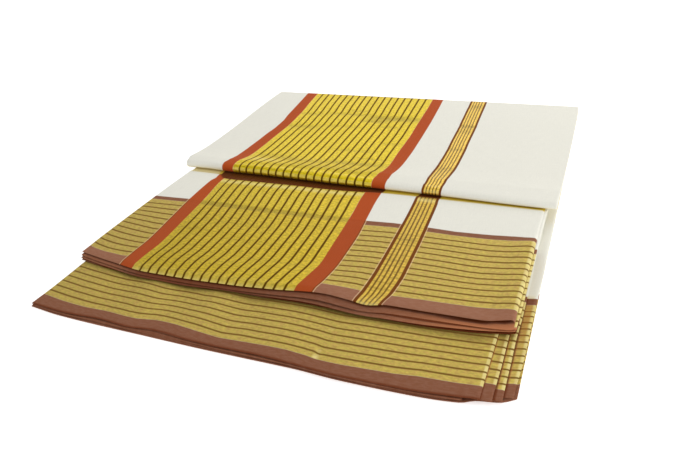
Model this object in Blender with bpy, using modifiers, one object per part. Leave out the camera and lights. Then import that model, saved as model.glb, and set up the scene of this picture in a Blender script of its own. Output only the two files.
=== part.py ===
# Kasavu saree folded flat: the stretches that show, laid on rounded hidden layers.
# Metres. +X runs along the cloth's length, +Y points to the back fold, +Z is up.
# The origin is the middle of the footprint, on the surface that the cloth lies on.
import math
from collections import namedtuple

import bmesh
import bpy

# Sizes of the folded cloth
FOLD_DEPTH = 0.6170
FOLD_LENGTH = 0.4950
CLOTH_WALL = 0.0010
SEAM_GAP = 0.0003

# Where the folds end
BACK_Y = FOLD_DEPTH / 2.0
RIGHT_X = FOLD_LENGTH / 2.0
SPREAD_X = 0.245
BEND_START_Y = 0.298
BEND_LEFT_X = -0.2425
BEND_RIGHT_X = 0.2440
UPPER_LEFT_X = -0.2445
UPPER_RIGHT_X = 0.2345
LOWER_REAR_Y = 0.2920
BACK_SEAM_Y = 0.2860
TUCK_Y = 0.0325
TUCK_TAIL_Y = 0.0385
CORE_RIGHT_X = 0.2052
CORE_FLARE_Y = 0.2705
CORE_FLARE_DEPTH = 0.0095
STEP_LEFT_X = 0.2056
STEP_REAR_Y = 0.2700

# Edges and grooves of the hidden layers
GROOVE_IN = 0.0008
CORE_LEVELS = 6
TUCK_LEVELS = 4

# How finely each form is divided
ACROSS_XS = (-0.222, -0.200, -0.182, -0.165, -0.147, -0.130, -0.112, -0.095, -0.075, -0.055, -0.037,
             -0.020, 0.005, 0.030, 0.050, 0.070, 0.085, 0.098, 0.118, 0.145, 0.175, 0.200)
ACROSS_COUNT = len(ACROSS_XS) + 2
BEND_COUNT = 7
NOSE_COUNT = 7

EdgeRow = namedtuple("EdgeRow", "y left right")
HeightRow = namedtuple("HeightRow", "y left middle right")
LineRow = namedtuple("LineRow", "x y")
WaveRow = namedtuple("WaveRow", "x lift")
RollRow = namedtuple("RollRow", "x front depth crest")
StepRow = namedtuple("StepRow", "name level right front_left front_right")

# Lower stretch: side edges, heights of its upper face, front selvedge and soft waves
LOWER_EDGES = (
    EdgeRow(-0.305, -0.2460, 0.2188),
    EdgeRow(-0.270, -0.2420, 0.2192),
    EdgeRow(-0.200, -0.2390, 0.2205),
    EdgeRow(0.000, -0.2390, 0.2250),
    EdgeRow(0.292, -0.2400, 0.2300),
)
LOWER_HEIGHTS = (
    HeightRow(-0.310, 0.0042, 0.0058, 0.0064),
    HeightRow(-0.285, 0.0052, 0.0068, 0.0072),
    HeightRow(-0.250, 0.0062, 0.0075, 0.0079),
    HeightRow(-0.200, 0.0072, 0.0081, 0.0085),
    HeightRow(0.000, 0.0084, 0.0088, 0.0088),
    HeightRow(0.200, 0.0082, 0.0082, 0.0082),
    HeightRow(0.292, 0.0078, 0.0078, 0.0078),
)
LOWER_FRONT = (
    LineRow(-0.250, -0.2930),
    LineRow(-0.192, -0.2978),
    LineRow(-0.162, -0.2966),
    LineRow(-0.120, -0.3003),
    LineRow(-0.094, -0.2975),
    LineRow(-0.048, -0.3020),
    LineRow(0.015, -0.3028),
    LineRow(0.056, -0.3049),
    LineRow(0.104, -0.3081),
    LineRow(0.156, -0.3078),
    LineRow(0.192, -0.3053),
    LineRow(0.219, -0.3024),
)
LOWER_WAVES = (
    WaveRow(-0.245, 0.0),
    WaveRow(-0.200, 0.0008),
    WaveRow(-0.165, -0.0010),
    WaveRow(-0.130, 0.0013),
    WaveRow(-0.095, -0.0012),
    WaveRow(-0.055, 0.0012),
    WaveRow(-0.020, -0.0011),
    WaveRow(0.030, 0.0006),
    WaveRow(0.070, -0.0004),
    WaveRow(0.110, 0.0004),
    WaveRow(0.220, 0.0),
)
UNDERSIDE_FRONT = (
    LineRow(-0.248, -0.2944),
    LineRow(-0.208, -0.2992),
    LineRow(-0.159, -0.3015),
    LineRow(-0.113, -0.3027),
    LineRow(-0.026, -0.3050),
    LineRow(0.055, -0.3057),
    LineRow(0.103, -0.3082),
    LineRow(0.139, -0.3085),
    LineRow(0.172, -0.3080),
    LineRow(0.204, -0.3050),
    LineRow(0.215, -0.3000),
    LineRow(0.234, -0.2965),
    LineRow(0.248, -0.2880),
)

# Middle stretch: the part drawn forward of the roll, with the front border
MIDDLE_EDGES = (
    EdgeRow(-0.225, -0.2460, 0.2318),
    EdgeRow(-0.180, -0.2430, 0.2325),
    EdgeRow(-0.120, -0.2385, 0.2332),
    EdgeRow(-0.060, -0.2335, 0.2342),
    EdgeRow(0.000, -0.2285, 0.2350),
    EdgeRow(0.033, -0.2285, 0.2350),
)
MIDDLE_HEIGHTS = (
    HeightRow(-0.232, 0.0136, 0.0150, 0.0166),
    HeightRow(-0.205, 0.0152, 0.0168, 0.0180),
    HeightRow(-0.180, 0.0162, 0.0176, 0.0186),
    HeightRow(-0.120, 0.0176, 0.0184, 0.0192),
    HeightRow(-0.060, 0.0188, 0.0190, 0.0196),
    HeightRow(0.000, 0.0194, 0.0194, 0.0196),
    HeightRow(0.033, 0.0194, 0.0194, 0.0196),
)
MIDDLE_FRONT = (
    LineRow(-0.246, -0.2105),
    LineRow(-0.200, -0.2190),
    LineRow(-0.150, -0.2255),
    LineRow(-0.100, -0.2260),
    LineRow(-0.045, -0.2250),
    LineRow(0.000, -0.2230),
    LineRow(0.050, -0.2195),
    LineRow(0.080, -0.2215),
    LineRow(0.098, -0.2235),
    LineRow(0.118, -0.2210),
    LineRow(0.160, -0.2220),
    LineRow(0.200, -0.2225),
    LineRow(0.232, -0.2160),
)
MIDDLE_WAVES = (
    WaveRow(-0.246, 0.0),
    WaveRow(-0.200, 0.0),
    WaveRow(-0.150, -0.0010),
    WaveRow(-0.100, -0.0012),
    WaveRow(-0.045, -0.0010),
    WaveRow(0.000, 0.0),
    WaveRow(0.050, 0.0014),
    WaveRow(0.080, 0.0),
    WaveRow(0.098, -0.0010),
    WaveRow(0.118, 0.0002),
    WaveRow(0.160, 0.0),
    WaveRow(0.232, 0.0),
)
LEAF_FRONT = (
    LineRow(-0.246, -0.2135),
    LineRow(-0.200, -0.2222),
    LineRow(-0.150, -0.2285),
    LineRow(-0.100, -0.2295),
    LineRow(-0.045, -0.2288),
    LineRow(0.000, -0.2275),
    LineRow(0.040, -0.2262),
    LineRow(0.092, -0.2292),
    LineRow(0.130, -0.2272),
    LineRow(0.200, -0.2264),
    LineRow(0.238, -0.2215),
)
CORE_FRONT = (
    LineRow(-0.246, -0.2152),
    LineRow(-0.200, -0.2245),
    LineRow(-0.115, -0.2330),
    LineRow(-0.050, -0.2322),
    LineRow(0.000, -0.2315),
    LineRow(0.050, -0.2315),
    LineRow(0.092, -0.2328),
    LineRow(0.170, -0.2320),
    LineRow(0.210, -0.2295),
    LineRow(0.238, -0.2225),
)

# Top stretch: side edges, heights of its upper face behind the roll, and the roll
TOP_EDGES = (
    EdgeRow(-0.020, -0.2370, 0.2472),
    EdgeRow(0.000, -0.2400, 0.2474),
    EdgeRow(0.020, -0.2440, 0.2475),
    EdgeRow(0.060, -0.2465, 0.2475),
    EdgeRow(0.180, -0.2468, 0.2475),
    EdgeRow(0.270, -0.2455, 0.2470),
    EdgeRow(0.309, -0.2435, 0.2450),
)
TOP_HEIGHTS = (
    HeightRow(0.015, 0.0290, 0.0285, 0.0264),
    HeightRow(0.027, 0.0262, 0.0258, 0.0244),
    HeightRow(0.040, 0.0232, 0.0232, 0.0224),
    HeightRow(0.055, 0.0212, 0.0212, 0.0206),
    HeightRow(0.078, 0.0196, 0.0198, 0.0192),
    HeightRow(0.105, 0.0184, 0.0186, 0.0180),
    HeightRow(0.165, 0.0172, 0.0174, 0.0170),
    HeightRow(0.250, 0.0168, 0.0170, 0.0166),
    HeightRow(0.300, 0.0160, 0.0160, 0.0156),
)
ROLL_ROWS = (
    RollRow(-0.245, -0.0050, 0.0080, 0.0285),
    RollRow(-0.180, -0.0070, 0.0090, 0.0290),
    RollRow(-0.155, -0.0092, 0.0090, 0.0290),
    RollRow(-0.067, -0.0085, 0.0090, 0.0288),
    RollRow(0.046, -0.0100, 0.0090, 0.0284),
    RollRow(0.116, -0.0172, 0.0090, 0.0280),
    RollRow(0.245, -0.0180, 0.0080, 0.0262),
)
TOP_STATIONS = (0.270, 0.235, 0.200, 0.165, 0.130, 0.105, 0.082, 0.064, 0.050, 0.0385, 0.029, 0.020, 0.010)

# Stepped fold ends at the right, from the upper one to the lowest
STEPS = (
    StepRow("fold_step_upper", 2, 0.2294, -0.3018, -0.3010),
    StepRow("fold_step_middle", 1, 0.2363, -0.3000, -0.2975),
    StepRow("fold_step_lowest", 0, 0.2462, -0.2985, -0.2895),
)

# Distances back from the front edge at which a flat stretch is divided, at its middle
PANEL_CUTS = (0.0, 0.007, 0.016, 0.028, 0.044, 0.062, 0.085, 0.120, 0.170, 0.253)
LOWER_CUTS = (0.0, 0.007, 0.016, 0.028, 0.044, 0.062, 0.085, 0.120, 0.200, 0.350, 0.500, 0.592)
CORE_LOWER_YS = (-0.285, -0.270, -0.248, -0.220, -0.185, -0.100, 0.050, 0.195, 0.2706, 0.280)
CORE_UPPER_YS = (0.285, 0.270, 0.200, 0.130, 0.082, 0.050, 0.0395, 0.0389, 0.0340, 0.0330,
                 -0.050, -0.120, -0.168, -0.190, -0.204)


def clamp(value, low, high):
    return max(low, min(high, value))


def ease(t):
    t = clamp(t, 0.0, 1.0)
    return t * t * (3.0 - 2.0 * t)


def slope_at(keys, values, j):
    """Slope of a smooth curve through table values, flat at its peaks."""
    last = len(keys) - 1
    if j == 0 or j == last:
        a = max(j - 1, 0)
        return (values[a + 1] - values[a]) / (keys[a + 1] - keys[a])
    before = (values[j] - values[j - 1]) / (keys[j] - keys[j - 1])
    after = (values[j + 1] - values[j]) / (keys[j + 1] - keys[j])
    if before * after <= 0.0:
        return 0.0
    return 2.0 * before * after / (before + after)


def read(rows, key, at, column):
    """Smooth value of one table column where the key column equals at."""
    keys = [getattr(row, key) for row in rows]
    values = [getattr(row, column) for row in rows]
    if at <= keys[0]:
        return values[0]
    if at >= keys[-1]:
        return values[-1]
    i = max(j for j, k in enumerate(keys) if k <= at)
    h = keys[i + 1] - keys[i]
    t = (at - keys[i]) / h
    start = values[i] * (1 + 2 * t) * (1 - t) ** 2
    stop = values[i + 1] * t * t * (3 - 2 * t)
    lean = slope_at(keys, values, i) * h * t * (1 - t) ** 2
    return start + stop + lean + slope_at(keys, values, i + 1) * h * t * t * (t - 1)


def height(rows, x, y):
    """Height of a face, from its left, middle and right columns."""
    left, middle, right = [read(rows, "y", y, column) for column in ("left", "middle", "right")]
    s = clamp(x / SPREAD_X, -1.0, 1.0)
    return middle + 0.5 * (right - left) * s + (0.5 * (left + right) - middle) * s * s


def lower_z(x, y):
    back = max(0.0, y - read(LOWER_FRONT, "x", x, "y"))
    grow = 0.4 + 0.6 * min(1.0, back / 0.05)
    fade = 1.0 - clamp((back - 0.06) / 0.06, 0.0, 1.0)
    return height(LOWER_HEIGHTS, x, y) + read(LOWER_WAVES, "x", x, "lift") * grow * fade


def middle_z(x, y):
    near = ease(1.0 - (y - read(MIDDLE_FRONT, "x", x, "y")) / 0.05)
    return height(MIDDLE_HEIGHTS, x, y) + read(MIDDLE_WAVES, "x", x, "lift") * near


def top_z(x, y):
    crest = read(ROLL_ROWS, "x", x, "crest")
    near = ease((0.020 - y) / 0.010)
    z = height(TOP_HEIGHTS, x, y)
    return z + (crest - z) * near


def across(left, right):
    """Positions across a stretch: shared ones inside, its own two edges outside."""
    return [left] + list(ACROSS_XS) + [right]


def edge_xs(rows, y):
    return across(read(rows, "y", y, "left"), read(rows, "y", y, "right"))


def back_bend(x, inset, count):
    """Half round over the back fold, from below to above, moved in by inset."""
    radius = top_z(x, BEND_START_Y) / 2.0
    centre = BACK_Y - radius
    turn = [math.pi * (i / (count - 1) - 0.5) for i in range(count)]
    reach = radius - inset
    return [(centre + reach * math.cos(a), radius + reach * math.sin(a)) for a in turn]


def roll_nose(x, inset, count):
    """Rounded front of the roll, from its crest down to its underside, moved in by inset."""
    front = read(ROLL_ROWS, "x", x, "front")
    depth = read(ROLL_ROWS, "x", x, "depth")
    crest = read(ROLL_ROWS, "x", x, "crest")
    under = middle_z(x, front + depth) + SEAM_GAP
    tall = (crest - under) / 2.0
    turn = [math.pi * (0.5 + i / (count - 1)) for i in range(count)]
    return [(front + depth + (depth - inset) * math.cos(a),
             under + tall + (tall - inset) * math.sin(a)) for a in turn]


def top_profile(x):
    """Outer face of the top stretch, from under the back fold to the tuck."""
    points = [(BACK_SEAM_Y, 0.0)] + back_bend(x, 0.0, BEND_COUNT)
    points += [(y, top_z(x, y)) for y in TOP_STATIONS]
    points += roll_nose(x, 0.0, NOSE_COUNT)
    points += [(y, middle_z(x, y) + SEAM_GAP) for y in (0.016, TUCK_Y)]
    return points


def new_mesh_object(name, verts, faces, collection):
    mesh = bpy.data.meshes.new(name)
    mesh.from_pydata(verts, [], faces)
    bm = bmesh.new()
    bm.from_mesh(mesh)
    bmesh.ops.recalc_face_normals(bm, faces=bm.faces)
    if bm.calc_volume(signed=True) < 0.0:
        bmesh.ops.reverse_faces(bm, faces=bm.faces)
    bm.to_mesh(mesh)
    bm.free()
    obj = bpy.data.objects.new(name, mesh)
    collection.objects.link(obj)
    for polygon in mesh.polygons:
        polygon.use_smooth = True
    return obj


def cloth_sheet(name, rows, collection):
    """Wall of cloth: a sheet of points, thickened on the side away from its outer face."""
    wide = len(rows[0])
    verts = [point for row in rows for point in row]
    faces = []
    for j in range(len(rows) - 1):
        for i in range(wide - 1):
            a = j * wide + i
            faces.append((a, a + 1, a + wide + 1, a + wide))
    mesh = bpy.data.meshes.new(name)
    mesh.from_pydata(verts, [], faces)
    obj = bpy.data.objects.new(name, mesh)
    collection.objects.link(obj)
    wall = obj.modifiers.new("Wall", "SOLIDIFY")
    wall.thickness = CLOTH_WALL
    wall.offset = -1.0
    wall.use_even_offset = True
    wall.use_rim = True
    for polygon in mesh.polygons:
        polygon.use_smooth = True
    return obj


def layered_block(name, place, wide, path, levels, collection):
    """Closed body over a lattice of points: across, along its path and through its layers."""
    index = {}
    verts = []

    def vertex(i, j, k):
        if (i, j, k) not in index:
            index[(i, j, k)] = len(verts)
            verts.append(place(i, j, k))
        return index[(i, j, k)]

    faces = []
    for i in range(wide):
        for j in range(path):
            for k in (0, levels):
                faces.append([vertex(i, j, k), vertex(i + 1, j, k),
                              vertex(i + 1, j + 1, k), vertex(i, j + 1, k)])
    for j in range(path):
        for k in range(levels):
            for i in (0, wide):
                faces.append([vertex(i, j, k), vertex(i, j + 1, k),
                              vertex(i, j + 1, k + 1), vertex(i, j, k + 1)])
    for i in range(wide):
        for k in range(levels):
            for j in (0, path):
                faces.append([vertex(i, j, k), vertex(i + 1, j, k),
                              vertex(i + 1, j, k + 1), vertex(i, j, k + 1)])
    return new_mesh_object(name, verts, faces, collection)


def lip(k):
    """How far a layered edge draws in: fold ends stand out between the grooves."""
    return 0.0 if k % 2 else GROOVE_IN


def panel_rows(edges, front, rear_y, cuts, z_of, drop):
    """Rows of points for a flat stretch, from its front selvedge back to rear_y."""
    rows = []
    mid_front = read(front, "x", 0.0, "y")
    for cut in cuts:
        part = cut / cuts[-1]
        row_y = mid_front + (rear_y - mid_front) * part
        row = []
        for x in edge_xs(edges, row_y):
            start = read(front, "x", x, "y")
            y = start + (rear_y - start) * part
            row.append((x, y, z_of(x, y) - drop))
        rows.append(row)
    return rows


def build_underside(collection):
    """Stretch that lies on the surface, flat below."""
    rows = []
    for back in (0.0, 0.02, 0.06, 0.20, 0.40, 1.0):
        row = []
        side = RIGHT_X - 0.0015 * back
        for x in across(-side, side):
            start = read(UNDERSIDE_FRONT, "x", x, "y")
            y = start + (BACK_SEAM_Y - SEAM_GAP - start) * back
            row.append((x, y, CLOTH_WALL))
        rows.append(row)
    return cloth_sheet("underside_panel", rows, collection)


def build_top(collection):
    """Top stretch with the fold over the back and the roll at its front."""
    middle_line = top_profile(0.0)
    rows = []
    for j in range(len(middle_line)):
        row = []
        for x in edge_xs(TOP_EDGES, middle_line[j][0]):
            y, z = top_profile(x)[j]
            row.append((x, y, z))
        rows.append(row)
    return cloth_sheet("top_panel", rows[::-1], collection)


def build_middle(collection):
    rows = panel_rows(MIDDLE_EDGES, MIDDLE_FRONT, TUCK_Y, PANEL_CUTS, middle_z, 0.0)
    return cloth_sheet("middle_panel", rows, collection)


def build_leaf(collection):
    """Leaf folded back under the middle stretch; it shows at the front and the right."""
    edges = [EdgeRow(row.y, row.left + 0.0005, row.right + 0.0030) for row in MIDDLE_EDGES]
    drop = CLOTH_WALL + SEAM_GAP
    rows = panel_rows(edges, LEAF_FRONT, TUCK_Y, PANEL_CUTS, middle_z, drop)
    return cloth_sheet("middle_under_leaf", rows, collection)


def build_lower(collection):
    rows = panel_rows(LOWER_EDGES, LOWER_FRONT, LOWER_REAR_Y, LOWER_CUTS, lower_z, 0.0)
    return cloth_sheet("lower_panel", rows, collection)


def build_step(row, collection):
    """One of the fold ends that step out at the right of the lower stack."""
    cuts = (0.0, 0.015, 0.05, 0.12, 0.32, 1.0)
    xs = (0.0, 0.5, 1.0)

    def place(i, j, k):
        x = STEP_LEFT_X + (row.right - STEP_LEFT_X) * xs[i]
        if i == 2 and k != 1:
            x -= 0.0005
        front = row.front_left + (row.front_right - row.front_left) * xs[i]
        y = front + (STEP_REAR_Y - front) * cuts[j]
        low = CLOTH_WALL + SEAM_GAP
        room = lower_z(x, y) - CLOTH_WALL - SEAM_GAP - low
        tall = (room - 2.0 * SEAM_GAP) / 3.0
        z = low + row.level * (tall + SEAM_GAP) + tall * k / 2.0
        return (x, y, z)

    return layered_block(row.name, place, 2, len(cuts) - 1, 2, collection)


def core_outer_z(x, y):
    """Top of the hidden layers under the top, tuck and middle stretches."""
    if y > 0.0392:
        return top_z(x, y) - CLOTH_WALL - SEAM_GAP
    if y > 0.0335:
        return middle_z(x, y) + CLOTH_WALL + SEAM_GAP
    return middle_z(x, y) - 2.0 * (CLOTH_WALL + SEAM_GAP)


def build_core(collection):
    """Layers that nothing shows, from the lower front round the back to the upper front."""
    lower = [("lower", y) for y in (None,) + CORE_LOWER_YS]
    bend = [("bend", i) for i in range(BEND_COUNT)]
    upper = [("upper", y) for y in CORE_UPPER_YS + (None,)]
    stations = lower + bend + upper
    inset = CLOTH_WALL + SEAM_GAP
    stack_front = read(LOWER_FRONT, "x", 0.0, "y")

    def side_xs(part, y):
        if part == "bend":
            return across(BEND_LEFT_X, BEND_RIGHT_X)
        if part == "lower":
            behind = ease((y - CORE_FLARE_Y) / CORE_FLARE_DEPTH)
            right = CORE_RIGHT_X + (BEND_RIGHT_X - CORE_RIGHT_X) * behind
            return across(read(LOWER_EDGES, "y", y, "left") + 0.0008, right)
        behind = ease((y - 0.030) / 0.025)
        left = read(MIDDLE_EDGES, "y", y, "left") + 0.0012
        left += (UPPER_LEFT_X - left) * behind
        return across(left, UPPER_RIGHT_X + (SPREAD_X - UPPER_RIGHT_X) * behind)

    def place(i, j, k):
        part, y = stations[j]
        w = k / CORE_LEVELS
        if part == "bend":
            x = side_xs(part, 0.0)[i]
            outer_y, outer_z = back_bend(x, inset, BEND_COUNT)[y]
            turn = math.pi * (y / (BEND_COUNT - 1.0) - 0.5)
            centre = BACK_Y - top_z(x, BEND_START_Y) / 2.0
            slot = lower_z(x, LOWER_REAR_Y) - CLOTH_WALL / 2.0
            half = CLOTH_WALL / 2.0 + SEAM_GAP
            inner_y = centre + half * math.cos(turn)
            inner_z = slot + half * math.sin(turn)
            point = [x, outer_y + (inner_y - outer_y) * w, outer_z + (inner_z - outer_z) * w]
        elif part == "lower":
            row_y = stack_front if y is None else y
            x = side_xs(part, row_y)[i]
            if y is None:
                front = read(UNDERSIDE_FRONT, "x", x, "y")
                lean = read(LOWER_FRONT, "x", x, "y")
                y = front + 0.0010 + (lean - front) * w + (0.0 if k % 2 else 0.0006)
            low = CLOTH_WALL + SEAM_GAP
            high = lower_z(x, y) - CLOTH_WALL - SEAM_GAP
            point = [x, y, low + (high - low) * w]
        else:
            row_y = -0.2250 if y is None else y
            x = side_xs(part, row_y)[i]
            if y is None:
                front = read(CORE_FRONT, "x", x, "y")
                leaf = read(LEAF_FRONT, "x", x, "y") + 0.0015
                y = leaf + (front - leaf) * w + (0.0 if k % 2 else 0.0008)
            high = core_outer_z(x, y)
            low = lower_z(x, y) + SEAM_GAP
            point = [x, y, high + (low - high) * w]
        if i == 0:
            point[0] += lip(k)
        if i == ACROSS_COUNT - 1:
            point[0] -= lip(k)
        return tuple(point)

    return layered_block("hidden_layers", place, ACROSS_COUNT - 1, len(stations) - 1,
                         CORE_LEVELS, collection)


def build_tuck(collection):
    """Layers inside the roll."""
    inset = CLOTH_WALL + SEAM_GAP
    stations = (None, 0.010, 0.020, 0.029, TUCK_TAIL_Y)

    def place(i, j, k):
        w = k / TUCK_LEVELS
        y = stations[j]
        row_y = -0.005 if y is None else y
        left = 0.5 * (read(TOP_EDGES, "y", row_y, "left") + read(MIDDLE_EDGES, "y", row_y, "left"))
        x = across(left + 0.0010, SPREAD_X)[i]
        if y is None:
            y, z = roll_nose(x, inset, TUCK_LEVELS + 1)[k]
        else:
            over = top_z(x, y) - inset
            under = middle_z(x, y) + 2.0 * SEAM_GAP + CLOTH_WALL
            z = over + (under - over) * w
        if i == 0:
            x += lip(k)
        if i == ACROSS_COUNT - 1:
            x -= lip(k)
        return (x, y, z)

    return layered_block("roll_layers", place, ACROSS_COUNT - 1, len(stations) - 1,
                         TUCK_LEVELS, collection)


def cloth_material(name, colour, roughness):
    material = bpy.data.materials.new(name)
    material.use_nodes = True
    shader = material.node_tree.nodes["Principled BSDF"]
    shader.inputs["Base Color"].default_value = (*colour, 1.0)
    shader.inputs["Roughness"].default_value = roughness
    shader.inputs["Metallic"].default_value = 0.0
    material.diffuse_color = (*colour, 1.0)
    return material


def dress(obj, colour, roughness):
    obj.data.materials.append(cloth_material(obj.name + "_cotton", colour, roughness))


def main():
    for obj in list(bpy.data.objects):
        bpy.data.objects.remove(obj, do_unlink=True)
    saree = bpy.data.collections.new("kasavu_saree")
    bpy.context.scene.collection.children.link(saree)

    cream = (0.79, 0.78, 0.71)
    gold = (0.60, 0.48, 0.12)
    border_gold = (0.53, 0.43, 0.14)
    selvedge = (0.30, 0.12, 0.08)
    dress(build_underside(saree), cream, 0.85)
    dress(build_core(saree), selvedge, 0.90)
    dress(build_lower(saree), border_gold, 0.70)
    for row in STEPS:
        dress(build_step(row, saree), border_gold, 0.70)
    dress(build_leaf(saree), selvedge, 0.85)
    dress(build_middle(saree), gold, 0.60)
    dress(build_tuck(saree), cream, 0.90)
    dress(build_top(saree), cream, 0.80)


main()
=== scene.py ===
import math

import bpy
import numpy as np
from mathutils import Matrix


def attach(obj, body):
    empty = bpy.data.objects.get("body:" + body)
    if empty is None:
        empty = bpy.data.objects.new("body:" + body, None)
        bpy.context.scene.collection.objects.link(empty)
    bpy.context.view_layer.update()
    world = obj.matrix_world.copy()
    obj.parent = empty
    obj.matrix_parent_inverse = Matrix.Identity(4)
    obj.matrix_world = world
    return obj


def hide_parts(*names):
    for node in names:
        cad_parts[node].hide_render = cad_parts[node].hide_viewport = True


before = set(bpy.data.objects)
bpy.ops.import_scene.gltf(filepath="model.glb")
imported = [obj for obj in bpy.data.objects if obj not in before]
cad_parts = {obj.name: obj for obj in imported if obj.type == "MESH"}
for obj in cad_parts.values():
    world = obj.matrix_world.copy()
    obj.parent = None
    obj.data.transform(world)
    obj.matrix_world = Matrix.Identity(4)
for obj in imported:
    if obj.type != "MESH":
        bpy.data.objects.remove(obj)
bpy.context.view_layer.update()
print("frame loaded")


# Reading the tables: each row starts with its place, and a smooth curve runs through a column

def ease(t):
    t = np.clip(t, 0.0, 1.0)
    return t * t * (3.0 - 2.0 * t)


def readCurve(rows, column, at):
    keys = np.array([row[0] for row in rows], float)
    values = np.array([row[column] for row in rows], float)
    at = np.clip(np.asarray(at, float), keys[0], keys[-1])
    run = np.diff(keys)
    rise = np.diff(values) / run
    slope = np.zeros(len(keys))
    slope[0], slope[-1] = rise[0], rise[-1]
    turns = rise[:-1] * rise[1:] <= 0.0
    total = np.where(turns, 1.0, rise[:-1] + rise[1:])
    slope[1:-1] = np.where(turns, 0.0, 2.0 * rise[:-1] * rise[1:] / total)
    i = np.clip(np.searchsorted(keys, at, side="right") - 1, 0, len(keys) - 2)
    h = run[i]
    t = (at - keys[i]) / h
    value = values[i] * (1 + 2 * t) * (1 - t) ** 2 + values[i + 1] * t * t * (3 - 2 * t)
    return value + slope[i] * h * t * (1 - t) ** 2 + slope[i + 1] * h * t * t * (t - 1)


def readHeight(rows, x, y):
    left, middle, right = [readCurve(rows, column, y) for column in (1, 2, 3)]
    s = np.clip(x / stack["spreadX"], -1.0, 1.0)
    return middle + 0.5 * (right - left) * s + (0.5 * (left + right) - middle) * s * s


def softMarks(rows, x, y):
    # x, y, half length, half width, depth of each trough; a negative depth is a ridge
    total = np.zeros(np.broadcast(x, y).shape)
    for markX, markY, long, wide, depth in rows:
        along = ((x - markX) / long) ** 4
        total -= depth * np.exp(-along - ((y - markY) / wide) ** 2)
    return total


def edgeHighlight(x, y, right, wide):
    # painted highlight on the gilt over the last few millimetres before a fold at the right
    lively = 0.80 + 0.20 * np.sin(y * 211.0 + right * 900.0) * np.sin(y * 87.0)
    return -lively * ease((x - right + wide) / 0.0012)


# The folded stack, in metres, as the CAD solids have it
stack = {
    "backY": 0.3085,
    "rightX": 0.2475,
    "spreadX": 0.245,
    "bendStartY": 0.298,
    "backSeamY": 0.2860,
    "lowerRearY": 0.2920,
    "tuckY": 0.0325,
    "tailY": 0.0385,
    "gap": 0.0003,
    "cadWall": 0.0010,
}


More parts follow.
